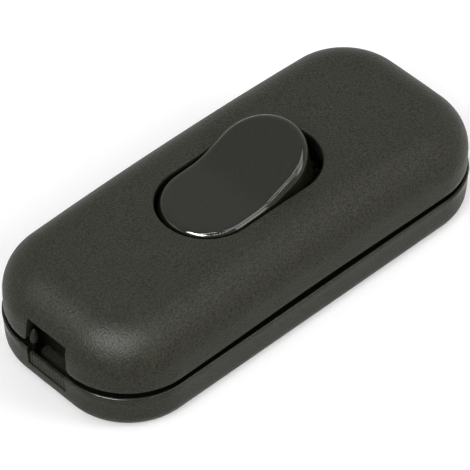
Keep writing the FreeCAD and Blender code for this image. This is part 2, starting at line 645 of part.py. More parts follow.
POLES = (("line", "-"), ("neutral", ""))
for pole, sign in POLES:
    lane = sign + "sizes.lane_offset"
    # Plunger: a round-nosed pin that slides in the rocker's tube
    pin_radius = "sizes.plunger_diameter / 2"
    nose = "-sizes.plunger_reach + sizes.plunger_diameter / 2"
    plunger = turned(pole + "_plunger", [
        ("0", "-sizes.plunger_reach", pin_radius), (pin_radius, nose),
        (pin_radius, "rules.plunger_top"), ("0", "rules.plunger_top")])
    place(plunger, "rules.pivot_z", "-sizes.rocker_tilt", lane)

    # Spring: a plain coil between the plunger and the end of its tube
    spring = body(pole + "_spring")
    wire = Profile(spring, "XZ_Plane", "0", "0").circle(
        "sizes.spring_wire / 2", "rules.coil_radius", "rules.plunger_top + sizes.spring_wire / 2")
    coil = spring.newObject("PartDesign::AdditiveHelix", pole + "_spring_coil")
    coil.Profile = wire.sketch
    coil.ReferenceAxis = (wire.sketch, ["V_Axis"])
    coil.Mode = "pitch-height-angle"
    coil.setExpression("Pitch", "rules.coil_height / sizes.spring_turns")
    coil.setExpression("Height", "rules.coil_height")
    place(spring, "rules.pivot_z", "-sizes.rocker_tilt", lane)

    # Contact lever: a strip that rocks on the feed terminal's knife edge, held by two notches
    lever = body(pole + "_lever")
    half = "sizes.lever_half_length"
    side = "sizes.lever_width / 2"
    waist = "(sizes.lever_width / 2 - sizes.notch_depth)"
    notch = "sizes.notch_width / 2"
    corner = "sizes.lever_width / 4"
    flat_x = "(%s - %s)" % (half, corner)
    flat_y = "(%s - %s)" % (side, corner)
    Profile(lever, "XY_Plane", "rules.lever_bottom", "rules.lever_top").outline([
        ("-" + flat_x, "-" + side), ("-" + notch, "-" + side), ("-" + notch, "-" + waist),
        (notch, "-" + waist), (notch, "-" + side), (flat_x, "-" + side, corner),
        (half, "-" + flat_y), (half, flat_y, corner), (flat_x, side), (notch, side),
        (notch, waist), ("-" + notch, waist), ("-" + notch, side), ("-" + flat_x, side, corner),
        ("-" + half, flat_y), ("-" + half, "-" + flat_y, corner)]).add()
    shank = "sizes.contact_radius / 2"
    tail = "sizes.contact_tail_share * sizes.contact_radius"
    dome = "sizes.contact_dome_share * sizes.contact_radius"
    Profile(lever, "XY_Plane", "rules.lever_bottom - sizes.past", "rules.lever_top + sizes.past").circle(
        shank + " + sizes.screw_clearance", x="sizes.contact_reach").cut()
    place(lever, "sizes.knife_height", "sizes.lever_tilt", lane)

    # Moving contact: a rivet through the lever's closing end
    rivet = turned(pole + "_moving_contact", [
        ("0", "rules.contact_face", dome),
        ("sizes.contact_radius", "rules.contact_face + rules.contact_dome"),
        ("sizes.contact_radius", "rules.lever_bottom"), (shank, "rules.lever_bottom"),
        (shank, "rules.lever_top"), (tail, "rules.lever_top"),
        (tail, "rules.lever_top + sizes.contact_tail"),
        ("0", "rules.lever_top + sizes.contact_tail")], x="sizes.contact_reach")
    place(rivet, "sizes.knife_height", "sizes.lever_tilt", lane)

    # Fixed contact: a rivet through the load strip, under the moving one
    fixed = turned(pole + "_fixed_contact", [
        ("0", "sizes.strip_bottom - sizes.contact_tail"),
        (tail, "sizes.strip_bottom - sizes.contact_tail"),
        (tail, "sizes.strip_bottom"), (shank, "sizes.strip_bottom"),
        (shank, "rules.strip_top"), ("sizes.contact_radius", "rules.strip_top"),
        ("sizes.contact_radius", "rules.fixed_contact_top - rules.contact_dome",
         dome),
        ("0", "rules.fixed_contact_top")], x="rules.fixed_contact_x")
    place(fixed, "0", "0", lane)

    # Brass strips: the feed strip carries the knife edge, the load strip the fixed contact
    screw_y = sign + "sizes.terminal_y"
    lane_low = "%ssizes.lane_offset - sizes.lever_width / 2" % sign
    lane_high = "%ssizes.lane_offset + sizes.lever_width / 2" % sign
    for strip_name, toward, lane_end in (("feed", "-", "sizes.knife_thickness / 2"),
                                         ("load", "", "-rules.load_strip_start")):
        strip = body("%s_%s_terminal" % (pole, strip_name))
        Profile(strip, "XY_Plane", "sizes.strip_bottom", "rules.strip_top",
                x=toward + "rules.terminal_x", y=screw_y).rectangle(
            "sizes.terminal_pad", "sizes.terminal_pad").add()
        # The tongue runs along the lane from the pad to its working end
        tongue = "(rules.strip_inner_x + 1 + %s)" % lane_end
        Profile(strip, "XY_Plane", "sizes.strip_bottom", "rules.strip_top",
                x="%s(rules.strip_inner_x + 1 - %s / 2)" % (toward, tongue), y=lane).rectangle(
            tongue, "sizes.lever_width").add()
        Profile(strip, "XY_Plane", "sizes.strip_bottom - sizes.past", "rules.strip_top + sizes.past").circle(
            "sizes.terminal_screw_shank / 2 + sizes.screw_clearance",
            toward + "rules.terminal_x", screw_y).cut()
        if strip_name == "load":
            Profile(strip, "XY_Plane", "sizes.strip_bottom - sizes.past",
                    "rules.strip_top + sizes.past").circle(
                shank + " + sizes.screw_clearance", "rules.fixed_contact_x", lane).cut()
            continue
        Profile(strip, "XY_Plane", "sizes.strip_bottom - sizes.past", "rules.strip_top + sizes.past",
                x="-sizes.contact_reach", y=lane).rectangle(
            "sizes.stop_post + 2 * sizes.part_clearance", "sizes.stop_post + sizes.part_clearance").cut()
        # Knife edge, bent up across the lane, with a horn in each of the lever's notches
        edge = "sizes.knife_thickness / 2"
        Profile(strip, "XZ_Plane", lane_low, lane_high).outline([
            ("-" + edge, "sizes.strip_bottom"), (edge, "sizes.strip_bottom"),
            (edge, "sizes.knife_height", edge), ("0", "sizes.knife_height + " + edge, edge),
            ("-" + edge, "sizes.knife_height")]).add()
        horn_top = "sizes.knife_height + rules.lever_top + sizes.part_clearance"
        horn = "sizes.notch_depth - 0.5 * sizes.part_clearance"
        for outward in ("+", "-"):
            horn_y = "%s %s (sizes.lever_width / 2 - (%s) / 2)" % (lane, outward, horn)
            Profile(strip, "XY_Plane", "rules.strip_top", horn_top, y=horn_y).rectangle(
                "sizes.notch_width - 2 * sizes.part_clearance", horn).add()


def screw(label, x, y, seat, head, head_height, shank, length, turned_over=False):
    """A slotted pan-head screw whose head sits at the given height, head up or turned over."""
    head_radius = "(%s) / 2" % head
    shank_radius = "(%s) / 2" % shank
    tip = "-(%s)" % length
    piece = turned(label, [
        ("0", tip), (shank_radius + " / 2", tip), (shank_radius, "%s + %s / 2" % (tip, shank_radius)),
        (shank_radius, "0"), (head_radius, "0"),
        (head_radius, "sizes.head_side_share * (%s)" % head_height,
         "sizes.head_dome_share * (%s)" % head), ("0", head_height)])
    Profile(piece, "XY_Plane", "sizes.head_slot_floor_share * (%s)" % head_height,
            "%s + sizes.past" % head_height).rectangle(
        "sizes.head_slot_width_share * (%s)" % head, "%s + sizes.past" % head).cut()
    if turned_over:
        piece.Placement.Rotation = FreeCAD.Rotation(FreeCAD.Vector(1, 0, 0), 180)
    piece.setExpression(".Placement.Base.x", x)
    piece.setExpression(".Placement.Base.y", y)
    piece.setExpression(".Placement.Base.z", seat)
    return piece


def four_corners(label, first):
    """Repeat a piece in all four corners as one group."""
    beside = mirror(first, ACROSS_X, first.Label + "_beside")
    across = mirror(first, ACROSS_Y, first.Label + "_across")
    opposite = mirror(beside, ACROSS_Y, first.Label + "_opposite")
    return group(label, [first, beside, across, opposite])


# Terminal screws with a square plate each, which clamps the wire
plate = body("plate_one")
Profile(plate, "XY_Plane", "rules.strip_top", "rules.wire_plate_top",
        x="rules.terminal_x", y="sizes.terminal_y").rectangle("sizes.wire_plate", "sizes.wire_plate").add()
Profile(plate, "XY_Plane", "rules.strip_top - sizes.past", "rules.wire_plate_top + sizes.past").circle(
    "sizes.terminal_screw_shank / 2 + sizes.screw_clearance",
    "rules.terminal_x", "sizes.terminal_y").cut()
four_corners("wire_plates", plate)
terminal_screw = screw("terminal_screw_one", "rules.terminal_x", "sizes.terminal_y",
                       "rules.wire_plate_top", "sizes.terminal_screw_head",
                       "sizes.terminal_screw_head_height", "sizes.terminal_screw_shank",
                       "rules.wire_plate_top - sizes.floor_thickness + 1 - sizes.part_clearance")
four_corners("terminal_screws", terminal_screw)

# Cord clamps: a bridge over the cord at each end, held by two screws
clamp = body("cord_clamp_right")
clamp_foot_top = "(sizes.clamp_seat + sizes.clamp_thickness)"
bridge_top = "(rules.tunnel_top + sizes.clamp_thickness)"
Profile(clamp, "YZ_Plane", "rules.clamp_x - sizes.clamp_length / 2",
        "rules.clamp_x + sizes.clamp_length / 2").outline([
    ("-rules.clamp_end_y", "sizes.clamp_seat"), ("-sizes.tunnel_half_width", "sizes.clamp_seat"),
    ("-sizes.tunnel_half_width", "rules.tunnel_top"), ("sizes.tunnel_half_width", "rules.tunnel_top"),
    ("sizes.tunnel_half_width", "sizes.clamp_seat"), ("rules.clamp_end_y", "sizes.clamp_seat"),
    ("rules.clamp_end_y", clamp_foot_top), ("rules.clamp_foot_y", clamp_foot_top),
    ("rules.clamp_foot_y", bridge_top + " - sizes.clamp_thickness", "sizes.clamp_thickness"),
    ("sizes.tunnel_half_width", bridge_top), ("-sizes.tunnel_half_width", bridge_top,
                                              "sizes.clamp_thickness"),
    ("-rules.clamp_foot_y", bridge_top + " - sizes.clamp_thickness"),
    ("-rules.clamp_foot_y", clamp_foot_top), ("-rules.clamp_end_y", clamp_foot_top)]).add()
for side in ("", "-"):
    Profile(clamp, "XY_Plane", "sizes.clamp_seat - sizes.past", clamp_foot_top + " + sizes.past").circle(
        "sizes.clamp_screw_shank / 2 + sizes.screw_clearance",
        "rules.clamp_x", side + "rules.clamp_screw_y").cut()
mirror(clamp, ACROSS_X, "cord_clamp_left")
clamp_screw = screw("clamp_screw_one", "rules.clamp_x", "rules.clamp_screw_y", clamp_foot_top,
                    "sizes.clamp_screw_head", "sizes.clamp_screw_head_height",
                    "sizes.clamp_screw_shank", "sizes.clamp_screw_length")
clamp_screw_pair = group("clamp_screws_right",
                         [clamp_screw, mirror(clamp_screw, ACROSS_Y, "clamp_screw_across")])
mirror(clamp_screw_pair, ACROSS_X, "clamp_screws_left")

# Case screws, driven from below into the cover's bosses
case_screw = screw("case_screw_one", "rules.boss_x", "-rules.boss_y", "sizes.counterbore_depth",
                   "sizes.case_screw_head", "sizes.case_screw_head_height",
                   "sizes.case_screw_shank", "sizes.case_screw_length", turned_over=True)
case_screw_beside = mirror(case_screw, ACROSS_X, "case_screw_beside")
group("case_screws", [case_screw, mirror(case_screw_beside, ACROSS_Y, "case_screw_opposite")])

NODES = ["base", "cover", "rocker"]
for pole, sign in POLES:
    NODES += [pole + "_" + piece for piece in (
        "plunger", "spring", "lever", "moving_contact", "fixed_contact", "feed_terminal",
        "load_terminal")]
NODES += ["wire_plates", "terminal_screws", "cord_clamp_left", "cord_clamp_right",
          "clamp_screws_left", "clamp_screws_right", "case_screws"]

doc.recompute()
for item in doc.Objects:
    if "Invalid" in item.State or "Error" in item.State:
        raise RuntimeError("%s failed to recompute: %s" % (item.Label, item.State))
for cut in cuts:
    before = cut.BaseFeature.Shape.Volume
    if not cut.Shape.Volume < before - 1e-4:
        raise RuntimeError("%s cuts nothing" % cut.Label)
os.makedirs("parts", exist_ok=True)
for node in NODES:
    shape = doc.getObjectsByLabel(node)[0].Shape
    if shape.isNull() or not shape.isValid() or not shape.Solids:
        raise RuntimeError("%s is not a valid solid" % node)
    shape.exportStep("parts/%s.step" % node)
    print("%-24s %d solid(s) %9.2f mm3" % (node, len(shape.Solids), shape.Volume))
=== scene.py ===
import math

import bmesh
import bpy
import numpy as np
from mathutils import Matrix, Vector


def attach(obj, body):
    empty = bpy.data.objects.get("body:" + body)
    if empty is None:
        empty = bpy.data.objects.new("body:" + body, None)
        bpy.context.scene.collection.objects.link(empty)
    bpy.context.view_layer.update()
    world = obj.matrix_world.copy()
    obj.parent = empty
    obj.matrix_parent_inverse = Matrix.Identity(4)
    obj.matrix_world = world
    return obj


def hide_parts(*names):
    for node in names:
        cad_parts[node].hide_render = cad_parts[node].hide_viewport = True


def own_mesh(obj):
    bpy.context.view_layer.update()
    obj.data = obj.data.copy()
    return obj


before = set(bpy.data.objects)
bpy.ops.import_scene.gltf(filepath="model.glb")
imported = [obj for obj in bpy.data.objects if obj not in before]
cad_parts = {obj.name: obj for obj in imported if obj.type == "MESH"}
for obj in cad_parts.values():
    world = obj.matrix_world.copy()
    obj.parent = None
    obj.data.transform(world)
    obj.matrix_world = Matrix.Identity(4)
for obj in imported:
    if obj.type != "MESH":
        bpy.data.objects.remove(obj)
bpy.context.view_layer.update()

# An inline cord switch: a matt two-part housing with a polished rocker in its crowned cover.
# Lengths are in millimetres up to the point where a mesh is made, and the meshes are in metres.

MM = 0.001

# Housing, the same sizes as in the part's source
LENGTH, WIDTH, CORNER = 62.0, 26.8, 9.1
TOP, END_DROP, SIDE_DROP = 14.7, 1.1, 0.35
SHOULDER, WALL = 5.3, 1.9
SEAM_TOP, RIM_TOP, RIM_STEP = 6.45, 5.65, 0.2
BASE_TAPER, BASE_ROUND, FLOOR_TOP, WALL_ROW = 3.7, 2.5, 1.8, 4.2
LAP_DEPTH, LAP_CLEARANCE, LIP_TOP, REBATE_TOP = 1.0, 0.12, 7.95, 8.25
GROOVE_RIM, GROOVE_FLOOR, GROOVE_DEPTH, GROOVE_SLOPE = 0.28, 0.4, 0.8, 0.7
ENTRY_SIDE, ENTRY_TOP_SIDE, ENTRY_TOP, LIP_GAP_SIDE = 3.65, 3.3, 10.25, 3.95
WEB_SIDE, WEB_BOTTOM, WEB_TOP, WEB_RECESS = 3.3, 3.0, 4.9, 0.3
WEB_PLATE_HALF, WEB_SCORE, WEB_BACKING_HALF = 0.17, 0.22, 0.08
RIB_X, RIB_PITCH, RIB_HALF, RIB_SIDE, RIB_TOP = 28.45, 2.7, 0.6, 3.6, 3.5
PEG_X, PEG_Y, PEG_TOP, PEG_NECK = 30.1, 3.15, 8.15, 6.2
PEG_LONG, PEG_WIDE, PEG_STEM, PEG_NOSE = 0.54, 0.45, 0.45, 1.4
CAVITY_ROOF = TOP - WALL
INNER_SHOULDER = SHOULDER - WALL
CLAMP_X, CLAMP_SCREW_Y, CLAMP_FOOT_TOP = 18.864, 8.0, 7.8
CLAMP_POST, CLAMP_POST_TOP, CLAMP_HOLE, CLAMP_HOLE_END = 2.3, 6.0, 1.35, 2.3
BOSS_X, BOSS_Y, COVER_BOSS, BASE_BOSS = 24.764, 7.164, 2.7, 3.2
PILOT, PILOT_END, SCREW_HOLE, COUNTERBORE, HEAD_SEAT = 1.5, 11.3, 1.6, 2.8, 2.4
DOWEL, DOWEL_TAPER, DOWEL_LENGTH, SOCKET, SOCKET_DEPTH = 1.2, 0.3, 2.4, 1.25, 2.7
TERMINAL_X, TERMINAL_Y, WIRE_PLATE_TOP = 13.404, 5.8, 4.2

# What stands on the base's floor, sunk into it a little: half sizes, places and tops
OVERLAP = 0.3
SUNK = FLOOR_TOP - OVERLAP
SADDLE_HALF, SADDLE_SIDE, SADDLE_TOP = 2.1, 5.4, 4.5
STRIP_BED, STRIP_BED_TOP = 2.6, 2.4
DIVIDER_END, DIVIDER_HALF, DIVIDER_TOP = TERMINAL_X + 1.45, 0.6, 6.3
STOP_X, STOP_HALF, STOP_SIDE, STOP_TOP = -6.0, 0.8, 0.65, 4.83
KNIFE_BED_X, KNIFE_BED_HALF, KNIFE_BED_SIDE = -1.6, 1.6, 1.4

# Rocker, in its own frame with the origin on the pivot
ROCKER_LENGTH, ROCKER_WIDTH, ROCKER_TILT, PIVOT_Z = 20.5, 12.2, 12.75, 11.2
VALLEY_SLOPE, VALLEY_ROUND, ROCKER_RISE = 10.5, 8.5, 3.85
ROCKER_SKIRT, ROCKER_WALL, ROCKER_EDGE = 1.5, 1.4, 0.95
OPENING_LENGTH, OPENING_WIDTH = 23.07, 12.8
TRUNNION, TRUNNION_START, TRUNNION_END, LANE = 1.35, 4.6, 8.3, 2.9
EAR_REACH, EAR_NEAR, EAR_FAR, BEARING_PLAY, MOUTH_SHARE = 1.6, 6.45, 8.45, 0.12, 0.85
BORE, TUBE, TUBE_DROP, BORE_TOP = 1.35, 2.1, 2.9, 2.305
PLUNGER_TOP, SPRING_WIRE, SPRING_TURNS, COIL_RADIUS, COIL_HEIGHT = -1.05, 0.35, 5.0, 0.85, 2.955

# How far the edges of the mouldings are eased, and how the cover's lower edge bows and lifts
EASED, SEAM_EASED, RIM_EASED, LIP_EASED, JAMB_ROUND = 0.2, 0.1, 0.22, 0.12, 0.6
SEAM_BOW, JAMB_LIFT = 0.32, 0.9

QUARTER = math.pi / 2
BOTH, SQUARE = (-1, 1), ((-1, -1), (1, -1), (1, 1), (-1, 1))
SPINE_X, SPINE_Y = LENGTH / 2 - CORNER, WIDTH / 2 - CORNER


# Outlines: each column of a surface has a foot on the outline's spine and an outward direction

def around(half_x, half_y, end_stops, side_stops, arc_steps):
    """Columns round an outline, anticlockwise from the +X end."""
    feet, outward = [], []

    def straight(points, direction):
        feet.extend(points)
        outward.extend([direction] * len(points))

    def corner(x, y, start):
        for step in range(1, arc_steps):
            angle = start + QUARTER * step / arc_steps
            feet.append((x, y))
            outward.append((math.cos(angle), math.sin(angle)))

    straight([(half_x, y) for y in end_stops], (1, 0))
    corner(half_x, half_y, 0)
    straight([(x, half_y) for x in side_stops[::-1]], (0, 1))
    corner(-half_x, half_y, QUARTER)
    straight([(-half_x, y) for y in end_stops[::-1]], (-1, 0))
    corner(-half_x, -half_y, 2 * QUARTER)
    straight([(x, -half_y) for x in side_stops], (0, -1))
    corner(half_x, -half_y, 3 * QUARTER)
    return np.array(feet, float), np.array(outward, float)


def steps(*stops_and_counts):
    """Even steps between stops: steps(a, n, b, m, c) goes from a to b in n and on to c in m."""
    values = [stops_and_counts[0]]
    for count, stop in zip(stops_and_counts[1::2], stops_and_counts[2::2]):
        values.extend(np.linspace(values[-1], stop, count + 1)[1:])
    return np.array(values)


def slot_outline(fractions, half_x, radius):
    """Feet and outward directions at fractions of the way round a slot, from its +X tip."""
    arc = QUARTER * radius
    quarter_length = arc + half_x
    along = (fractions % 1.0) * 4
    quarter = np.floor(along).astype(int) % 4
    part = along - np.floor(along)
    travel = np.where(quarter % 2 == 0, part, 1 - part) * quarter_length
    angle = np.minimum(travel, arc) / radius
    x = half_x - np.maximum(travel - arc, 0)
    sign_x = np.where((quarter == 0) | (quarter == 3), 1, -1)
    sign_y = np.where(quarter < 2, 1, -1)
    feet = np.stack([sign_x * x, 0 * x], 1)
    outward = np.stack([sign_x * np.cos(angle), sign_y * np.sin(angle)], 1)
    return feet, outward


def lift(flat, height):
    """Points in space from points in plan and one height or a height each."""
    return np.column_stack([flat, np.broadcast_to(height, len(flat))])


# Roof surfaces

class Crown:
    """A roof that falls away to its ends along one long arc and to its sides along another."""

    def __init__(self, top, inset):
        self.top = top
        self.long_arc = (LENGTH / 2) ** 2 / (2 * END_DROP) - inset
        self.side_arc = (WIDTH / 2) ** 2 / (2 * SIDE_DROP) - inset

    def height(self, flat):
        x, y = flat[:, 0], flat[:, 1]
        ridge = self.side_arc - self.long_arc + np.sqrt(self.long_arc ** 2 - x ** 2)
        return self.top - self.side_arc + np.sqrt(ridge ** 2 - y ** 2)


class Valley:
    """The rocker's face: two slopes joined by a wide arc, the same all across."""

    def __init__(self, inset):
        self.slope = math.radians(VALLEY_SLOPE)
        self.arc = VALLEY_ROUND + inset
        self.touch = self.arc * math.sin(self.slope)
        lifted = 1 / math.cos(self.slope) - 1
        self.bottom = ROCKER_RISE - VALLEY_ROUND * lifted - inset + self.arc * lifted

    def height(self, flat):
        x = np.abs(flat[:, 0])
        near = self.bottom + self.arc - np.sqrt(self.arc ** 2 - np.minimum(x, self.touch) ** 2)
        return near + np.maximum(x - self.touch, 0) * math.tan(self.slope)


def upward(roof, flat):
    """Unit normals of a roof."""
    step = 0.01
    along_x = roof.height(flat + [step, 0]) - roof.height(flat - [step, 0])
    along_y = roof.height(flat + [0, step]) - roof.height(flat - [0, step])
    normal = np.column_stack([-along_x, -along_y, np.full(len(flat), 2 * step)])
    return normal / np.linalg.norm(normal, axis=1)[:, None]


def rolled(feet, outward, reach, radius, roof, shares, level=None):
    """Rows of a shoulder rolled between an upright wall and a roof, from the wall up.

    shares are numbers from 0 to 2: 1 lies at the given level, or halfway without one."""
    centre = feet + (reach - radius) * outward
    touch = centre
    for _ in range(5):
        normal = upward(roof, touch)
        touch = centre + radius * normal[:, :2]
    height = roof.height(touch) - radius * normal[:, 2]
    flat_out = lift(outward, 0)
    turn = np.arccos(np.clip((flat_out * normal).sum(1), -1, 1))
    middle = np.full(len(feet), 0.5)
    if level is not None:
        rise = (level - height) / radius * np.sin(turn) / normal[:, 2]
        middle = np.arcsin(np.clip(rise, 0, 1)) / turn
    rows = []
    for share in shares:
        at = middle * min(share, 1) + (1 - middle) * max(share - 1, 0)
        lean = np.sin((1 - at) * turn)[:, None] * flat_out + np.sin(at * turn)[:, None] * normal
        rows.append(lift(centre, height) + radius * lean / np.sin(turn)[:, None])
    return rows, height, touch


def across(start, end, shares, roof):
    """Rows on a roof at shares of the way from one outline in plan to another."""
    flats = [start + (end - start) * share for share in shares]
    return [lift(flat, roof.height(flat)) for flat in flats]


def eased(feet, outward, reach, height, radius, start, end, count):
    """Rows of a small round about a line at that reach and height, from angle to angle."""
    return [lift(feet + (reach + radius * math.cos(angle)) * outward,
                 height + radius * math.sin(angle))
            for angle in np.radians(np.linspace(start, end, count + 1))]


class Moulding:
    """Collects the closed forms of one moulded piece and turns them into one mesh."""

    def __init__(self):
        self.form = bmesh.new()
        layers = self.form.verts.layers.float
        for name in ("painted_shade", "rubbed_edge"):
            layers.new(name)

    def mark(self, name, rows):
        """Mark rows of corners for the finish, for painted shade or as rubbed edges."""
        layer = self.form.verts.layers.float[name]
        for row in rows:
            for vertex in row:
                vertex[layer] = 1.0

    def points(self, rows):
        return [[self.form.verts.new(point) for point in row] for row in rows]

    def face(self, corners):
        distinct = [v for number, v in enumerate(corners) if v is not corners[number - 1]]
        if len(distinct) > 2:
            self.form.faces.new(distinct)

    def strip(self, low, high, column):
        """The face between two rows, from one column to the next one round."""
        beside = (column + 1) % len(low)
        self.face([low[column], low[beside], high[beside], high[column]])

    def skin(self, grid, closed=False, skip=lambda row, column: False):
        """Faces between neighbouring rows, whose columns go all the way round."""
        for row in range(len(grid) if closed else len(grid) - 1):
            for column in range(len(grid[0])):
                if not skip(row, column):
                    self.strip(grid[row], grid[(row + 1) % len(grid)], column)

    def lid(self, *loops):
        """A flat face inside the first loop, with the others as its holes."""
        edges = []
        for loop in loops:
            for number, corner in enumerate(loop):
                pair = (loop[number - 1], corner)
                edges.append(self.form.edges.get(pair) or self.form.edges.new(pair))
        bmesh.ops.triangle_fill(self.form, edges=edges, use_beauty=True, normal=(0, 0, 1))

    def round_off(self, edges, width, segments):
        bmesh.ops.bevel(self.form, geom=edges, offset=width, segments=segments, profile=0.5,
                        affect="EDGES", clamp_overlap=True)

    def prism(self, outline, low, high, axis="z", ease=0.12):
        """A closed prism with eased edges, standing on an outline or lying along Y."""
        made = self.points([[(x, other, level) if axis == "z" else (x, level, other)
                             for x, other in outline] for level in (low, high)])
        self.skin(made)
        for end in made:
            self.form.faces.new(end)
        if ease:
            edges = {edge for row in made for vertex in row for edge in vertex.link_edges}
            sharp = [edge for edge in edges if edge.calc_face_angle(0) > 0.6]
            self.round_off(sharp, ease, 2)

    def box(self, x, y, half_x, half_y, low, high, ease=0.12):
        self.prism([(x + a * half_x, y + b * half_y) for a, b in SQUARE], low, high, ease=ease)

    def turned(self, profile, x=0.0, y=0.0, count=40, closed=False):
        """A round form about an upright axis. profile holds (radius, height) from foot to top."""
        turn = np.linspace(0, 4 * QUARTER, count, endpoint=False)
        rows = []
        for radius, height in profile:
            if radius == 0:
                tip = self.form.verts.new((x, y, height))
                rows.append([tip] * count)
            else:
                ring = np.column_stack([x + radius * np.cos(turn), y + radius * np.sin(turn)])
                rows.append([self.form.verts.new((*corner, height)) for corner in ring])
        self.skin(rows, closed)
        return rows

    def post(self, x, y, radius, top, hole, hole_end):
        """An upright post on the floor with a blind hole in its top."""
        edge = SEAM_EASED
        self.turned([(0, SUNK), (radius, SUNK), (radius, top - edge), (radius - edge, top),
                     (hole + edge / 2, top), (hole, top - edge), (hole, hole_end),
                     (0, hole_end)], x, y)

    def place(self, rows, matrix):
        """Move and stretch the corners of some rows."""
        corners = {vertex for row in rows for vertex in row}
        bmesh.ops.transform(self.form, verts=list(corners), matrix=matrix)

    def finish(self, name, finish, slot, body, replaces, place=None):
        """Merge what coincides, turn the faces outwards and make the piece."""
        bmesh.ops.remove_doubles(self.form, verts=self.form.verts, dist=1e-5)
        bmesh.ops.dissolve_degenerate(self.form, edges=self.form.edges, dist=1e-6)
        bmesh.ops.recalc_face_normals(self.form, faces=self.form.faces)
        mesh = bpy.data.meshes.new(name)
        self.form.to_mesh(mesh)
        self.form.free()
        mesh.transform(Matrix.Scale(MM, 4) @ (place or Matrix.Identity(4)))
        return add_piece(name, mesh, finish, body, replaces)


def in_scene(name, data):
    """A new object in the scene."""
    made = bpy.data.objects.new(name, data)
    bpy.context.scene.collection.objects.link(made)
    return made


def add_piece(name, mesh, finish, body, replaces=(), sharp=38):
    """Put a finished mesh in the scene as one piece on its body."""
    mesh.name = name
    mesh.shade_smooth()
    mesh.set_sharp_from_angle(angle=math.radians(sharp))
    mesh.materials.clear()
    mesh.materials.append(finish)
    piece = in_scene(name, mesh)
    weighting = piece.modifiers.new("flat_faces_stay_flat", "WEIGHTED_NORMAL")
    weighting.keep_sharp = True
    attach(piece, body)
    if replaces:
        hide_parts(*replaces)
    return piece


# Finishes

def plain(srgb):
    """A colour as it is written in a picture, made linear."""
    return tuple((c / 12.92 if c <= 0.04045 else ((c + 0.055) / 1.055) ** 2.4) for c in srgb) + (1,)


class Nodes:
    """A node tree, built up node by node."""

    def __init__(self, tree):
        self.tree = tree

    def add(self, kind, inputs=None, out=0, **settings):
        """Add a node and give back one of its outputs. A list links several to one input."""
        node = self.tree.nodes.new(kind)
        for name, setting in settings.items():
            setattr(node, name, setting)
        for socket, source in (inputs or {}).items():
            target = node.inputs[socket]
            for one in source if isinstance(source, list) else [source]:
                if isinstance(one, bpy.types.NodeSocket):
                    self.tree.links.new(one, target)
                else:
                    target.default_value = one
        return node.outputs[out]


class Finish(Nodes):
    """A procedural finish on object coordinates."""

    def __init__(self, name, colour, roughness, metallic=0.0, specular=0.5):
        self.material = bpy.data.materials.new(name)
        self.material.use_nodes = True
        super().__init__(self.material.node_tree)
        self.surface = self.tree.nodes["Principled BSDF"].inputs
        for socket, value in (("Base Color", plain(colour)), ("Roughness", roughness),
                              ("Metallic", metallic), ("Specular IOR Level", specular)):
            self.surface[socket].default_value = value
        self.place = self.add("ShaderNodeTexCoord", out="Object")

    def grain(self, size, detail=2.0, stretch=(1, 1, 1), roughness=0.5):
        """Noise whose lumps are about `size` millimetres, drawn out where stretch is above 1."""
        scaled = self.add("ShaderNodeMapping", {
            "Vector": self.place, "Scale": tuple(1 / s for s in stretch)})
        return self.add("ShaderNodeTexNoise", {
            "Vector": scaled, "Scale": 1 / (size * MM), "Detail": detail,
            "Roughness": roughness}, "Fac")

    def spread(self, source, low, high, start=0.3, end=0.7):
        """Map a pattern onto the numbers from low to high."""
        return self.add("ShaderNodeMapRange", {
            "Value": source, "From Min": start, "From Max": end, "To Min": low, "To Max": high})

    def vary(self, socket, source):
        """Let one of the surface's sockets follow a pattern."""
        self.tree.links.new(source, self.surface[socket])

    def tint(self, source, dark, light, start=0.3, end=0.7):
        """Let the colour wander between two shades along a pattern."""
        share = self.spread(source, 0, 1, start, end)
        self.vary("Base Color", self.add("ShaderNodeMix", {
            "Factor": share, 6: plain(dark), 7: plain(light)}, 2, data_type="RGBA"))

    def where(self, attribute, socket, value):
        """Give a socket that follows a pattern another value where the piece's attribute is 1."""
        kind, first, second, out = (("RGBA", 6, 7, 2) if socket == "Base Color"
                                    else ("FLOAT", 2, 3, 0))
        mask = self.add("ShaderNodeAttribute", out="Fac", attribute_name=attribute)
        pattern = self.surface[socket].links[0].from_socket
        self.vary(socket, self.add("ShaderNodeMix", {0: mask, first: pattern, second: value},
                                   out, data_type=kind))

    def relief(self, source, depth, strength=1.0, except_where=None):
        """Raise the surface by up to `depth` millimetres, but not where an attribute is 1."""
        if except_where:
            mask = self.add("ShaderNodeAttribute", out="Fac", attribute_name=except_where)
            strength = self.spread(mask, strength, 0, 0, 1)
        inputs = {"Height": source, "Distance": depth * MM, "Strength": strength}
        for earlier in self.surface["Normal"].links:
            inputs["Normal"] = earlier.from_socket
        self.vary("Normal", self.add("ShaderNodeBump", inputs))


def matt_housing():
    """Black thermoset with a fine spark-eroded texture from its mould."""
    finish = Finish("matt_housing", (0.18, 0.18, 0.152), 0.4, specular=0.085)
    pits = finish.grain(0.22, roughness=0.6)
    finish.tint(pits, (0.125, 0.126, 0.096), (0.232, 0.231, 0.2), 0.35, 0.65)
    # Painted shade: on faces marked for it, the colour drops to near black. This stands in for the
    # shade in the seam, inside the rocker's opening and under the cord pegs.
    finish.where("painted_shade", "Base Color", plain((0.05, 0.05, 0.04)))
    finish.vary("Roughness", finish.spread(finish.grain(5.0, 4.0), 0.36, 0.44))
    finish.where("rubbed_edge", "Roughness", 0.15)
    finish.relief(finish.grain(0.26, 3.0, roughness=0.6), 0.1, 1.0, "rubbed_edge")
    finish.relief(finish.grain(0.1), 0.02, 0.8, "rubbed_edge")
    return finish.material


def polished_rocker():
    """The same black moulded against a polished face."""
    finish = Finish("polished_rocker", (0.085, 0.09, 0.05), 0.08, specular=0.33)
    finish.tint(finish.grain(0.3, 3.0), (0.06, 0.065, 0.03), (0.11, 0.115, 0.07))
    finish.vary("Roughness", finish.spread(finish.grain(2.2, 5.0), 0.04, 0.08))
    finish.relief(finish.grain(3.2, 1.0), 0.004, 0.5)
    return finish.material


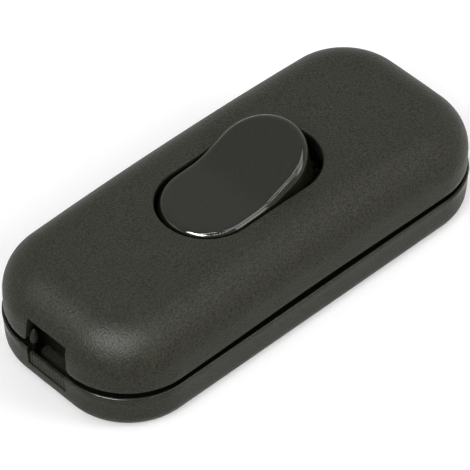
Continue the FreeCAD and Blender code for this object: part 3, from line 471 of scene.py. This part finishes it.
def dark_nylon():
    """Dyed nylon of the plungers and cord clamps."""
    finish = Finish("dark_nylon", (0.22, 0.22, 0.21), 0.4)
    finish.tint(finish.grain(2.5, 4.0), (0.2, 0.2, 0.19), (0.25, 0.25, 0.24))
    finish.vary("Roughness", finish.spread(finish.grain(0.8, 3.0), 0.34, 0.48))
    finish.relief(finish.grain(0.3), 0.006, 0.4)
    return finish.material


def metal(name, light, dark, roughness, stretch=(1, 1, 1), grain=0.2, depth=0.003):
    """Bare or plated metal: cloudy tarnish, drawn or rolled grain and uneven gloss."""
    finish = Finish(name, light, roughness, metallic=1.0)
    finish.tint(finish.grain(1.8, 4.0), dark, light)
    streaks = finish.grain(grain, 3.0, stretch)
    finish.vary("Roughness", finish.spread(streaks, roughness - 0.07, roughness + 0.1))
    finish.relief(streaks, depth, 0.5)
    return finish.material


MATT = matt_housing()
POLISHED = polished_rocker()
NYLON = dark_nylon()
BRASS = metal("rolled_brass", (0.88, 0.74, 0.45), (0.74, 0.58, 0.32), 0.3, (9, 1, 1))
BRONZE = metal("rolled_bronze", (0.86, 0.66, 0.5), (0.72, 0.5, 0.35), 0.32, (9, 1, 1))
SILVER = metal("contact_silver", (0.93, 0.93, 0.91), (0.8, 0.79, 0.76), 0.25, grain=0.15)
ZINC = metal("zinc_plate", (0.8, 0.81, 0.83), (0.66, 0.67, 0.7), 0.34, grain=0.25, depth=0.004)
SPRING_STEEL = metal("drawn_wire", (0.7, 0.7, 0.71), (0.52, 0.52, 0.53), 0.3, (1, 1, 4), 0.1)


# Housing

END_STOPS = steps(-SPINE_Y, 3, -LIP_GAP_SIDE, 4, -ENTRY_SIDE, 1, -WEB_SIDE, 12, WEB_SIDE,
                  1, ENTRY_SIDE, 4, LIP_GAP_SIDE, 3, SPINE_Y)
SIDE_STOPS = steps(-SPINE_X, 72, SPINE_X)
FEET, OUTWARD = around(SPINE_X, SPINE_Y, END_STOPS, SIDE_STOPS, 28)
AT_END = np.abs(OUTWARD[:, 0]) > 1 - 1e-9
CREST = Crown(TOP, 0)
INNER_CREST = Crown(CAVITY_ROOF, WALL)


def housing_row(reach, height):
    """A row of the housing at one reach from its spine, at one height or a height each."""
    return lift(FEET + reach * OUTWARD, height)


def between(limit):
    """Columns whose strip to the next one lies within that distance of the middle of an end."""
    half_step = 0.01
    here = AT_END & (np.abs(FEET[:, 1]) <= limit + half_step)
    width = np.abs(np.roll(FEET[:, 1], -1) - FEET[:, 1])
    return here & np.roll(here, -1) & (width > half_step)


def borders(strips):
    """Columns where a run of strips begins or ends."""
    started = np.flatnonzero(strips & ~np.roll(strips, 1))
    ended = (np.flatnonzero(strips & ~np.roll(strips, -1)) + 1) % len(strips)
    return list(started) + list(ended)


def seam_bow():
    """How far the cover's lower edge lifts at each column: most at mid length."""
    middle = 0.5 + 0.5 * np.cos(np.pi * np.clip(np.abs(FEET[:, 0]) / SPINE_X, 0, 1))
    sideways = np.abs(OUTWARD[:, 1])
    beside_jamb = np.clip(np.abs(FEET[:, 1]) - ENTRY_SIDE, 0, JAMB_ROUND)
    from_jamb = np.where(sideways < 1e-9, beside_jamb, JAMB_ROUND)
    corner = JAMB_ROUND - np.sqrt(JAMB_ROUND ** 2 - (JAMB_ROUND - from_jamb) ** 2)
    return SEAM_BOW * sideways * middle + JAMB_LIFT * corner


def leaning(row):
    """Draw the columns near a cord entry towards its middle as the entry narrows to its top."""
    x, y, z = row.T
    rise = np.interp(z, [SEAM_TOP, ENTRY_TOP, ENTRY_TOP + 2], [0, 1, 0])
    near = np.interp(np.abs(y), [ENTRY_SIDE, SPINE_Y], [1, 0])
    narrower = 1 - ENTRY_TOP_SIDE / ENTRY_SIDE
    return np.column_stack([x, y * (1 - AT_END * rise * near * narrower), z])


def cover_shell():
    """Crowned upper shell with the rocker's opening, the cord entries, ears and bosses."""
    moulding = Moulding()
    edge = SEAM_TOP + seam_bow()
    rows = eased(FEET, OUTWARD, CORNER - SEAM_EASED, edge + SEAM_EASED, SEAM_EASED, -90, 0, 3)
    to_entry, inner_to_top = 9, 6
    shoulder, start, touch = rolled(FEET, OUTWARD, CORNER, SHOULDER, CREST,
                                    steps(0, to_entry, 1, 15, 2), ENTRY_TOP)
    for share in (0.35, 0.7):
        rows.append(housing_row(CORNER, (edge + SEAM_EASED) * (1 - share) + start * share))
    entry_row = len(rows) + to_entry
    rows += shoulder

    # The crowned top runs in to the rocker's opening, whose edge is eased
    path = FEET + CORNER * OUTWARD
    sides = np.diff(np.vstack([path, path[:1]]), axis=0)
    walked = np.concatenate([[0], np.cumsum(np.linalg.norm(sides, axis=1))])
    start_share = np.interp(0, FEET[:len(END_STOPS), 1], walked[:len(END_STOPS)]) / walked[-1]
    fractions = walked[:-1] / walked[-1] - start_share
    radius = OPENING_WIDTH / 2
    slot_feet, slot_out = slot_outline(fractions, OPENING_LENGTH / 2 - radius, radius)
    rim = slot_feet + (radius + EASED) * slot_out
    rows += across(touch, rim, steps(0, 15, 1)[1:-1], CREST)
    rows += eased(slot_feet, slot_out, radius + EASED, CREST.height(rim) - EASED, EASED, 90, 180, 4)

    # The inside: roof, inner shoulder, and the rebate that laps over the base's lip
    inner_reach = CORNER - WALL
    inner, _, inner_touch = rolled(FEET, OUTWARD, inner_reach, INNER_SHOULDER, INNER_CREST,
                                   steps(0, 5, 1, inner_to_top, 2), ENTRY_TOP)
    mouth = slot_feet + radius * slot_out
    mouth_row = len(rows)
    rows.append(lift(mouth, CREST.height(mouth) - 3 * EASED))
    rows += across(mouth, inner_touch, steps(0, 8, 1)[:-1], INNER_CREST)
    inner_entry_row = len(rows) + inner_to_top
    rows += inner[::-1]
    rebate = CORNER - LAP_DEPTH
    rows += [housing_row(inner_reach, REBATE_TOP), housing_row(rebate, REBATE_TOP),
             housing_row(rebate, edge)]

    grid = moulding.points([leaning(row) for row in rows])
    # Painted shade: the opening's wall and every inside face from it on are coloured near black.
    moulding.mark("painted_shade", grid[mouth_row:])
    moulding.mark("rubbed_edge", grid[:4])
    entry = between(ENTRY_SIDE)
    moulding.skin(grid, closed=True, skip=lambda row, column: entry[column] and (
        row < entry_row or row >= inner_entry_row))
    for column in np.flatnonzero(entry):
        moulding.strip(grid[entry_row], grid[inner_entry_row], column)
    for column in borders(entry):
        moulding.face([row[column] for row in grid[:entry_row + 1] + grid[inner_entry_row:]])
    rounded = [(grid[row][column], grid[row + 1][column])
               for column in borders(entry) for row in range(entry_row)]
    rounded += [(grid[entry_row][column], grid[entry_row][(column + 1) % len(FEET)])
                for column in np.flatnonzero(entry)]
    edges = [moulding.form.edges.get(pair) for pair in rounded]
    moulding.round_off([edge for edge in edges if edge], EASED, 3)

    # Ears with open-mouthed bearings for the rocker's trunnions
    ear_half, bearing = TRUNNION + EAR_REACH, TRUNNION + BEARING_PLAY
    mouth_half = MOUTH_SHARE * TRUNNION
    outer = [(-ear_half, CAVITY_ROOF + OVERLAP)] + [
        (-ear_half * math.cos(a), PIVOT_Z - ear_half * math.sin(a))
        for a in np.linspace(0, QUARTER, 12)]
    outer = [corner for corner in outer if corner[0] < -mouth_half]
    bore = [(-bearing * math.sin(a), PIVOT_Z - bearing * math.cos(a))
            for a in np.linspace(math.asin(mouth_half / bearing), 2 * QUARTER, 16)]
    left = outer + [(-mouth_half, PIVOT_Z - math.sqrt(ear_half ** 2 - mouth_half ** 2))] + bore
    outline = left + [(-x, z) for x, z in left[-2::-1]]
    for side in BOTH:
        near, far = sorted((side * EAR_NEAR, side * EAR_FAR))
        moulding.prism(outline, near, far, axis="y", ease=0)

    # Bosses: two take the case screws, two carry locating pegs
    head = CAVITY_ROOF - END_DROP + 0.5 * WALL
    for sign_x in BOTH:
        for sign_y in BOTH:
            x, y = sign_x * BOSS_X, sign_y * BOSS_Y
            if sign_x * sign_y < 0:
                inside = [(0, PILOT_END), (PILOT, PILOT_END), (PILOT, SEAM_TOP + EASED),
                          (PILOT + EASED, SEAM_TOP)]
            else:
                foot = SEAM_TOP - DOWEL_LENGTH
                inside = [(0, foot), (DOWEL - DOWEL_TAPER, foot), (DOWEL, foot + DOWEL_TAPER),
                          (DOWEL, SEAM_TOP)]
            moulding.turned(inside + [(COVER_BOSS, SEAM_TOP), (COVER_BOSS, head), (0, head)], x, y)
    return moulding.finish("cover_shell", MATT, "housing", "housing", ["cover"])


def base_tray():
    """Tapered lower shell with its rim, lip, bosses, ribs, saddles and cord webs."""
    moulding = Moulding()
    lean = math.radians(BASE_TAPER)
    taper = math.tan(lean)
    rim_reach = CORNER + RIM_STEP
    contact = BASE_ROUND * (1 - math.sin(lean))
    round_reach = rim_reach - (RIM_TOP - contact) * taper - BASE_ROUND * math.cos(lean)
    rows = eased(FEET, OUTWARD, round_reach, BASE_ROUND, BASE_ROUND, -90, -BASE_TAPER, 9)

    web_row = len(rows)
    for height in (WEB_BOTTOM, WALL_ROW):
        rows.append(housing_row(rim_reach - (RIM_TOP - height) * taper, height))
    rim_row = len(rows)
    rows += eased(FEET, OUTWARD, rim_reach - RIM_EASED, RIM_TOP - RIM_EASED, RIM_EASED, 0, 90, 3)
    groove_row = len(rows)
    lip_reach = CORNER - LAP_DEPTH - LAP_CLEARANCE
    rows += [housing_row(rim_reach - GROOVE_RIM, RIM_TOP - GROOVE_SLOPE * GROOVE_DEPTH),
             housing_row(lip_reach + GROOVE_FLOOR, RIM_TOP - GROOVE_DEPTH),
             housing_row(lip_reach, RIM_TOP - GROOVE_DEPTH), housing_row(lip_reach, RIM_TOP)]
    ledge_row = len(rows) - 1
    inner_reach = CORNER - WALL
    lip_edge = LIP_TOP - LIP_EASED
    rows += eased(FEET, OUTWARD, lip_reach - LIP_EASED, lip_edge, LIP_EASED, 0, 90, 2)
    rows += eased(FEET, OUTWARD, inner_reach + LIP_EASED, lip_edge, LIP_EASED, 90, 180, 2)
    inner_rim_row = len(rows)
    rows += [housing_row(inner_reach, height) for height in (RIM_TOP, WEB_BOTTOM, FLOOR_TOP)]
    inner_web_row = inner_rim_row + 1

    grid = moulding.points(rows)
    # Painted shade: from the seam groove inwards, the groove, the lip and the inside faces are
    # coloured near black.
    moulding.mark("painted_shade", grid[groove_row:])
    moulding.mark("rubbed_edge", grid[rim_row:groove_row])
    lip_gap, web = between(LIP_GAP_SIDE), between(WEB_SIDE)
    moulding.skin(grid, skip=lambda row, column: (
        (lip_gap[column] and ledge_row <= row < inner_rim_row)
        or (web[column] and web_row <= row < inner_web_row)))
    for column in np.flatnonzero(lip_gap):
        low, high = (web_row, inner_web_row) if web[column] else (ledge_row, inner_rim_row)
        moulding.strip(grid[low], grid[high], column)
    for column in borders(lip_gap):
        moulding.face([row[column] for row in grid[ledge_row:inner_rim_row + 1]])
    for column in borders(web):
        moulding.face([row[column] for row in
                       grid[web_row:ledge_row + 1] + grid[inner_rim_row:inner_web_row + 1]])

    # Floor and underside, open at the two case screws
    screw_holes, counterbores = [], []
    edge, chamfer = SEAM_EASED, 0.15
    for sign in BOTH:
        seat = moulding.turned([
            (COUNTERBORE + chamfer, 0), (COUNTERBORE, chamfer), (COUNTERBORE, HEAD_SEAT),
            (SCREW_HOLE, HEAD_SEAT), (SCREW_HOLE, SEAM_TOP - edge), (SCREW_HOLE + edge, SEAM_TOP),
            (BASE_BOSS - edge, SEAM_TOP), (BASE_BOSS, SEAM_TOP - edge), (BASE_BOSS, FLOOR_TOP)],
            sign * BOSS_X, -sign * BOSS_Y, count=48)
        counterbores.append(seat[0])
        screw_holes.append(seat[-1])
    moulding.lid(grid[0], *counterbores)
    moulding.lid(grid[-1], *screw_holes)

    for sign_x in BOTH:
        moulding.post(sign_x * BOSS_X, sign_x * BOSS_Y, BASE_BOSS, SEAM_TOP,
                      SOCKET, SEAM_TOP - SOCKET_DEPTH)
        for rib_x in (RIB_X, RIB_X - RIB_PITCH):
            moulding.box(sign_x * rib_x, 0, RIB_HALF, RIB_SIDE, SUNK, RIB_TOP)
        moulding.box(sign_x * CLAMP_X, 0, SADDLE_HALF, SADDLE_SIDE, SUNK, SADDLE_TOP)
        cord_web(moulding, sign_x)
        for sign_y in BOTH:
            moulding.post(sign_x * CLAMP_X, sign_y * CLAMP_SCREW_Y, CLAMP_POST, CLAMP_POST_TOP,
                          CLAMP_HOLE, CLAMP_HOLE_END)
            moulding.box(sign_x * TERMINAL_X, sign_y * TERMINAL_Y, STRIP_BED, STRIP_BED, SUNK,
                         STRIP_BED_TOP)
            guide_peg(moulding, sign_x, sign_y)
    moulding.box(0, 0, DIVIDER_END, DIVIDER_HALF, SUNK, DIVIDER_TOP)
    for sign_y in BOTH:
        moulding.box(STOP_X, sign_y * LANE, STOP_HALF, STOP_SIDE, SUNK, STOP_TOP)
        moulding.box(KNIFE_BED_X, sign_y * LANE, KNIFE_BED_HALF, KNIFE_BED_SIDE, SUNK,
                     STRIP_BED_TOP)
    return moulding.finish("base_tray", MATT, "housing", "housing", ["base"])


def cord_web(moulding, sign_x):
    """The break-out web under one cord entry: a plate in front of a thinner, wider backing."""
    front = LENGTH / 2 + RIM_STEP - WEB_RECESS
    moulding.box(sign_x * (front - WEB_PLATE_HALF), 0, WEB_PLATE_HALF, WEB_SIDE - WEB_SCORE,
                 WEB_BOTTOM + WEB_SCORE, WEB_TOP, ease=0.07)
    wider, deeper, lower_top = 0.1, 0.5, 0.2
    moulding.box(sign_x * (front - 2 * WEB_PLATE_HALF), 0, WEB_BACKING_HALF, WEB_SIDE + wider,
                 WEB_BOTTOM - deeper, WEB_TOP - lower_top, ease=0)


def guide_peg(moulding, sign_x, sign_y):
    """A bullet-shaped peg on a thinner stem at one jamb of a cord entry."""
    nose = [(math.cos(a), PEG_TOP - PEG_NOSE * (1 - math.sin(a)))
            for a in np.linspace(0, QUARTER, 14)]
    nose[-1] = (0, PEG_TOP)
    neck, flare, swell = 0.9, 0.2, 0.15
    rows = moulding.turned([(0, SUNK), (PEG_STEM, SUNK), (PEG_STEM, PEG_NECK - flare),
                            (neck, PEG_NECK), (1, PEG_NECK + swell)] + nose, count=32)
    # Painted shade: the stem under the peg's nose is coloured near black.
    moulding.mark("painted_shade", rows[:3])
    moulding.mark("rubbed_edge", rows[3:])
    moulding.place(rows, Matrix.Translation((sign_x * PEG_X, sign_y * PEG_Y, 0))
                   @ Matrix.Diagonal((PEG_LONG, PEG_WIDE, 1, 1)))


def rocker_place():
    """From the rocker's own frame to the row frame at rest."""
    tilt = Matrix.Rotation(math.radians(-ROCKER_TILT), 4, "Y")
    return Matrix.Translation((0, 0, PIVOT_Z)) @ tilt


def rocker_button():
    """Polished hollow button with a shallow valley, two plunger tubes and its trunnions."""
    moulding = Moulding()
    radius = ROCKER_WIDTH / 2
    half_x, in_valley = ROCKER_LENGTH / 2 - radius, 2.2
    feet, outward = around(half_x, 0, [0],
                           steps(-half_x, 5, -in_valley, 10, in_valley, 5, half_x), 30)
    face, inside = Valley(0), Valley(ROCKER_WALL)
    rows = eased(feet, outward, radius - EASED, -ROCKER_SKIRT + EASED, EASED, -90, 0, 3)
    shoulder, start, touch = rolled(feet, outward, radius, ROCKER_EDGE, face,
                                    steps(0, 5, 1, 5, 2))
    rows += [lift(feet + radius * outward, (start - ROCKER_SKIRT) / 2)] + shoulder
    rows += across(touch, feet, steps(0, 10, 1)[1:], face)
    inner = feet + (radius - ROCKER_WALL) * outward
    hollow = across(feet, inner, steps(0, 8, 1), inside) + [lift(inner, -ROCKER_SKIRT)]
    outer_grid, inner_grid = moulding.points(rows), moulding.points(hollow)
    moulding.skin(outer_grid)
    moulding.skin(inner_grid)
    moulding.skin([inner_grid[-1], outer_grid[0]])
    edge, tube_top = 0.1, BORE_TOP + OVERLAP
    for side in BOTH:
        moulding.turned([(TUBE, tube_top), (TUBE, -TUBE_DROP + edge), (TUBE - edge, -TUBE_DROP),
                         (BORE + edge, -TUBE_DROP), (BORE, -TUBE_DROP + edge), (BORE, tube_top)],
                        0, side * LANE, closed=True)
        trunnion = moulding.turned([
            (0, TRUNNION_START), (TRUNNION, TRUNNION_START), (TRUNNION, TRUNNION_END - EASED),
            (TRUNNION - EASED, TRUNNION_END), (0, TRUNNION_END)])
        moulding.place(trunnion, Matrix.Rotation(-side * QUARTER, 4, "X"))
    return moulding.finish("rocker_button", POLISHED, "rocker", "rocker", ["rocker"],
                           rocker_place())


# Geometry node recipes for what repeats

class Recipe(Nodes):
    """A geometry node tree with named inputs."""

    def __init__(self, name, inputs):
        super().__init__(bpy.data.node_groups.new(name, "GeometryNodeTree"))
        face = self.tree.interface
        face.new_socket("Geometry", in_out="INPUT", socket_type="NodeSocketGeometry")
        self.identifiers = {}
        for label, (kind, value) in inputs.items():
            socket = face.new_socket(label, in_out="INPUT", socket_type="NodeSocket" + kind)
            if value is not None:
                socket.default_value = value
            self.identifiers[label] = socket.identifier
        face.new_socket("Geometry", in_out="OUTPUT", socket_type="NodeSocketGeometry")
        self.inputs = self.tree.nodes.new("NodeGroupInput").outputs
        self.output = self.tree.nodes.new("NodeGroupOutput").inputs["Geometry"]

    def math(self, operation, first, second=0.0):
        return self.add("ShaderNodeMath", {0: first, 1: second}, operation=operation)

    def times(self, first, second):
        return self.math("MULTIPLY", first, second)

    def vector(self, x=0.0, y=0.0, z=0.0):
        return self.add("ShaderNodeCombineXYZ", {0: x, 1: y, 2: z})

    def lifted(self, geometry, height):
        return self.add("GeometryNodeTransform", {
            "Geometry": geometry, "Translation": self.vector(z=height)})

    def on_points(self, points, instance, **more):
        return self.add("GeometryNodeInstanceOnPoints", {
            "Points": points, "Instance": instance, **more})

    def finish(self, geometry):
        """Close the tree: instances become real and take the material."""
        real = self.add("GeometryNodeRealizeInstances", {0: geometry})
        coloured = self.add("GeometryNodeSetMaterial", {
            "Geometry": real, "Material": self.inputs["Material"]})
        self.tree.links.new(coloured, self.output)
        return self

    def make(self, places, values):
        """Run the tree on a few points and give back the plain mesh, in metres."""
        points = bpy.data.meshes.new("places")
        points.from_pydata([tuple(MM * c for c in place) for place in places], [], [])
        carrier = in_scene("carrier", points)
        modifier = carrier.modifiers.new("recipe", "NODES")
        modifier.node_group = self.tree
        for label, value in values.items():
            modifier[self.identifiers[label]] = value
        bpy.context.view_layer.update()
        evaluated = carrier.evaluated_get(bpy.context.evaluated_depsgraph_get())
        mesh = bpy.data.meshes.new_from_object(evaluated)
        carrier.modifiers.clear()
        bpy.data.objects.remove(carrier)
        bpy.data.meshes.remove(points)
        return mesh


def screw_recipe():
    """Slotted pan-head screws with a rolled thread, one on each point."""
    recipe = Recipe("slotted_screw", {
        "Head diameter": ("Float", 5.0 * MM), "Head height": ("Float", 1.8 * MM),
        "Shank diameter": ("Float", 2.9 * MM), "Length": ("Float", 8.6 * MM),
        "Thread pitch": ("Float", 0.9 * MM), "Turned over": ("Float", 0.0),
        "Seed": ("Int", 0), "Material": ("Material", None)})
    get, add, times, vector = recipe.inputs, recipe.add, recipe.times, recipe.vector
    diameter, height, length = get["Head diameter"], get["Head height"], get["Length"]
    head = add("GeometryNodeMeshCylinder", {
        "Vertices": 48, "Side Segments": 5, "Fill Segments": 6,
        "Radius": times(diameter, 0.5), "Depth": height})
    head = recipe.lifted(head, times(height, 0.5))

    # The top sinks towards its rim, and the rim itself turns over
    dome, outward_power, upward_power = -0.42, 2.4, 3.0
    split = recipe.tree.nodes.new("ShaderNodeSeparateXYZ")
    recipe.tree.links.new(add("GeometryNodeInputPosition"), split.inputs[0])
    from_axis = add("ShaderNodeVectorMath", {0: vector(*split.outputs[:2])}, 1,
                    operation="LENGTH")
    outness = recipe.math("DIVIDE", from_axis, times(diameter, 0.5))
    upness = recipe.math("DIVIDE", split.outputs[2], height)
    fall = times(recipe.math("POWER", outness, outward_power),
                 recipe.math("POWER", upness, upward_power))
    drop = times(times(fall, height), dome)
    head = add("GeometryNodeSetPosition", {"Geometry": head, "Offset": vector(z=drop)})

    # The slot, as shares of the head's diameter and height
    slot_width, slot_reach, slot_middle = 0.2, 1.3, 0.95
    slot = add("GeometryNodeMeshCube", {"Size": vector(
        times(diameter, slot_width), times(diameter, slot_reach), height)})
    slot = recipe.lifted(slot, times(height, slot_middle))
    head = add("GeometryNodeMeshBoolean", {0: head, 1: slot}, operation="DIFFERENCE")

    # Shank with a tapered tip, and a thread wound on its core
    thread_depth, ridge_radius, tip, thread_share, thread_foot = 0.28, 0.27, 0.8, 0.9, -0.98
    core = recipe.math("SUBTRACT", times(get["Shank diameter"], 0.5), thread_depth * MM)
    shank = add("GeometryNodeMeshCone", {
        "Vertices": 32, "Side Segments": 12, "Radius Top": core,
        "Radius Bottom": times(core, tip), "Depth": length})
    shank = recipe.lifted(shank, times(length, -1.0))
    wound = times(length, thread_share)
    winding = add("GeometryNodeCurveSpiral", {
        "Resolution": 26, "Rotations": recipe.math("DIVIDE", wound, get["Thread pitch"]),
        "Start Radius": times(core, 0.9), "End Radius": core, "Height": wound})
    ridge = add("GeometryNodeCurvePrimitiveCircle", {"Resolution": 3, "Radius": ridge_radius * MM})
    thread = add("GeometryNodeCurveToMesh", {
        "Curve": winding, "Profile Curve": ridge, "Fill Caps": True})
    thread = recipe.lifted(thread, times(length, thread_foot))
    screw = add("GeometryNodeJoinGeometry", {0: [head, shank, thread]})
    turn = add("FunctionNodeRandomValue", {"Seed": get["Seed"], 2: 0.0, 3: math.pi}, 1,
               data_type="FLOAT")
    return recipe.finish(recipe.on_points(get["Geometry"], screw, Rotation=vector(
        x=times(get["Turned over"], math.pi), z=turn)))


def coil_recipe():
    """A wire coil standing on each point."""
    recipe = Recipe("wire_coil", {
        "Wire": ("Float", 0.35 * MM), "Radius": ("Float", 0.85 * MM), "Height": ("Float", 2.9 * MM),
        "Turns": ("Float", 5.0), "Material": ("Material", None)})
    get = recipe.inputs
    path = recipe.add("GeometryNodeCurveSpiral", {
        "Resolution": 32, "Rotations": get["Turns"], "Start Radius": get["Radius"],
        "End Radius": get["Radius"], "Height": get["Height"]})
    section = recipe.add("GeometryNodeCurvePrimitiveCircle", {
        "Resolution": 14, "Radius": recipe.times(get["Wire"], 0.5)})
    wire = recipe.add("GeometryNodeCurveToMesh", {
        "Curve": path, "Profile Curve": section, "Fill Caps": True})
    return recipe.finish(recipe.on_points(get["Geometry"], wire))


def ridge_recipe():
    """A row of fine upright ridges at each point."""
    recipe = Recipe("web_ridges", {
        "Count": ("Int", 12), "Pitch": ("Float", 0.5 * MM), "Ridge": ("Float", 0.14 * MM),
        "Height": ("Float", 1.5 * MM), "Material": ("Material", None)})
    get = recipe.inputs
    width = recipe.times(recipe.math("SUBTRACT", get["Count"], 1.0), get["Pitch"])
    line = recipe.add("GeometryNodeMeshLine", {
        "Count": get["Count"], "Start Location": recipe.vector(y=recipe.times(width, -0.5)),
        "Offset": recipe.vector(y=get["Pitch"])})
    ridge = recipe.add("GeometryNodeMeshCylinder", {
        "Vertices": 12, "Radius": get["Ridge"], "Depth": get["Height"]})
    return recipe.finish(recipe.on_points(get["Geometry"], recipe.on_points(line, ridge)))


def web_ridges():
    """The ridges of both webs, a little sunk into their fronts."""
    sunk, above_middle = 0.09, 0.08
    reach = LENGTH / 2 + RIM_STEP - WEB_RECESS - sunk
    middle = (WEB_BOTTOM + WEB_TOP) / 2 + above_middle
    mesh = ridge_recipe().make([(-reach, 0, middle), (reach, 0, middle)], {"Material": MATT})
    add_piece("web_ridges", mesh, MATT, "housing")


def screws():
    """Every screw in the switch, made by one recipe."""
    recipe = screw_recipe()

    def set_of(name, places, seed, head, head_height, shank, length, over=0.0):
        mesh = recipe.make(places, {
            "Head diameter": head * MM, "Head height": head_height * MM,
            "Shank diameter": shank * MM, "Length": length * MM, "Turned over": over,
            "Seed": seed, "Material": ZINC})
        add_piece(name + "_set", mesh, ZINC, "housing", [name], sharp=30)

    set_of("terminal_screws",
           [(a * TERMINAL_X, b * TERMINAL_Y, WIRE_PLATE_TOP) for a in BOTH for b in BOTH],
           3, 5.0, 1.8, 2.9, 3.0)
    for name, side, seed in (("clamp_screws_left", -1, 8), ("clamp_screws_right", 1, 5)):
        set_of(name, [(side * CLAMP_X, b * CLAMP_SCREW_Y, CLAMP_FOOT_TOP) for b in BOTH],
               seed, 4.6, 1.7, 2.6, 5.2)
    set_of("case_screws", [(-b * BOSS_X, b * BOSS_Y, HEAD_SEAT) for b in (1, -1)],
           2, 5.0, 1.8, 2.9, 8.6, 1.0)


def plunger_springs():
    """Coils behind the plungers, each made at one fixed length and carried on the rocker."""
    recipe = coil_recipe()
    place = rocker_place()
    for pole, side in (("line", -1), ("neutral", 1)):
        mesh = recipe.make([(0, 0, 0)], {
            "Wire": SPRING_WIRE * MM, "Radius": COIL_RADIUS * MM, "Height": COIL_HEIGHT * MM,
            "Turns": SPRING_TURNS, "Material": SPRING_STEEL})
        foot = place @ Vector((0, side * LANE, PLUNGER_TOP + SPRING_WIRE / 2))
        mesh.transform(Matrix.Translation(foot * MM) @ place.to_3x3().to_4x4())
        coil = add_piece(pole + "_coil", mesh, SPRING_STEEL, "rocker",
                         [pole + "_spring"])
        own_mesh(coil)


def dress_cad_nodes():
    """Give the nodes that stay as they are their finishes."""
    finishes = {"plunger": NYLON, "lever": BRONZE, "contact": SILVER, "terminal": BRASS}
    by_name = {"wire_plates": ZINC, "cord_clamp_left": NYLON, "cord_clamp_right": NYLON}
    for name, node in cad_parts.items():
        finish = by_name.get(name) or finishes.get(name.split("_")[-1])
        if finish:
            node.data.materials.clear()
            node.data.materials.append(finish)


# Studio

def strength_by_use(tree, seen_directly, as_light):
    """An emission strength: one for the camera, mirrors and glass, and another as light."""
    nodes = Nodes(tree)
    path = tree.nodes.new("ShaderNodeLightPath").outputs
    seen = path["Is Camera Ray"]
    for other in ("Is Glossy Ray", "Is Transmission Ray"):
        seen = nodes.add("ShaderNodeMath", {0: seen, 1: path[other]}, operation="MAXIMUM")
    return nodes.add("ShaderNodeMapRange", {
        "Value": seen, "To Min": as_light, "To Max": seen_directly})


def studio():
    """White surroundings, a pale floor and soft lamps."""
    scene = bpy.context.scene
    scene.view_settings.view_transform = "Standard"
    world = bpy.data.worlds.new("white_surroundings")
    world.use_nodes = True
    scene.world = world
    background = world.node_tree.nodes["Background"].inputs
    background["Color"].default_value = (1, 1, 1, 1)
    world.node_tree.links.new(strength_by_use(world.node_tree, 1.0, 0.5), background["Strength"])

    floor_mesh = bpy.data.meshes.new("floor")
    half, just_below = 2.0, -0.02 * MM
    floor_mesh.from_pydata([(a * half, b * half, 0) for a, b in SQUARE], [], [(0, 1, 2, 3)])
    floor = in_scene("floor", floor_mesh)
    floor.location.z = just_below
    paint = bpy.data.materials.new("pale_floor")
    paint.use_nodes = True
    tree = paint.node_tree
    surface = tree.nodes["Principled BSDF"].inputs
    for socket, value in (("Base Color", (0.78, 0.78, 0.78, 1)), ("Roughness", 0.9),
                          ("Specular IOR Level", 0.0), ("Emission Color", (1, 1, 1, 1))):
        surface[socket].default_value = value
    tree.links.new(strength_by_use(tree, 0.32, 0.0), surface["Emission Strength"])
    floor_mesh.materials.append(paint)

    def softbox(name, direction, distance, width, height, power, gloss_only=True):
        """A soft lamp, its width along X; one for gloss alone adds nothing to the matt light."""
        lamp = bpy.data.lights.new(name, "AREA")
        lamp.shape = "RECTANGLE"
        lamp.size, lamp.size_y = width, height
        lamp.energy = power
        holder = in_scene(name, lamp)
        aim = Vector(direction).normalized()
        across = (Vector((1, 0, 0)) - aim * aim.x).normalized()
        holder.matrix_world = (Matrix.Translation(aim * distance)
                               @ Matrix((across, aim.cross(across), aim)).transposed().to_4x4())
        holder.visible_diffuse = not gloss_only

    softbox("key_softbox", (-0.58, -0.28, 0.75), 1.2, 0.5, 0.45, 6.5, gloss_only=False)
    softbox("side_softbox", (0.4, -0.68, 0.58), 1.2, 0.5, 0.5, 5.0, gloss_only=False)
    softbox("key_gleam", (-0.57, -0.12, 0.81), 1.2, 0.28, 0.6, 66.0)
    softbox("left_gleam", (-0.72, 0.5, 0.42), 1.2, 0.6, 0.6, 1.5)
    softbox("top_strip", (-0.2, -0.06, 0.98), 1.1, 0.55, 0.025, 2.4)
    softbox("low_strip", (-0.15, -0.5, 0.85), 1.1, 0.55, 0.025, 2.4)
    softbox("grey_panel", (0.3, -0.28, 0.91), 1.1, 0.48, 0.44, 3.4)


def photo_camera():
    """The photograph's camera: looking down one end, almost without perspective."""
    picture = 470
    azimuth, elevation, roll = math.radians(-42.977), math.radians(44.929), math.radians(-0.494)
    pixels_per_mm, nearness = 8.3184, 0.0019631
    shift_right, shift_up, half_height = 0.4945, 1.4850, 7.333
    flat = math.cos(elevation)
    back = Vector((math.sin(azimuth) * flat, -math.cos(azimuth) * flat, math.sin(elevation)))
    level = Vector((math.cos(azimuth), math.sin(azimuth), 0))
    upright = back.cross(level)
    right = level * math.cos(roll) + upright * math.sin(roll)
    up = upright * math.cos(roll) - level * math.sin(roll)
    distance = 1 / nearness
    place = Vector((0, 0, half_height)) + distance * back - shift_right * right - shift_up * up
    data = bpy.data.cameras.new("photo_camera")
    data.sensor_width = 36.0
    data.lens = data.sensor_width * pixels_per_mm * distance / picture
    data.clip_start, data.clip_end = 0.01, 20.0
    data.dof.use_dof = False
    camera = in_scene("photo_camera", data)
    turned = Matrix((right, up, back)).transposed().to_4x4()
    camera.matrix_world = Matrix.Translation(place * MM) @ turned
    bpy.context.scene.camera = camera


cover_shell()
base_tray()
rocker_button()
web_ridges()
screws()
plunger_springs()
dress_cad_nodes()
studio()
photo_camera()
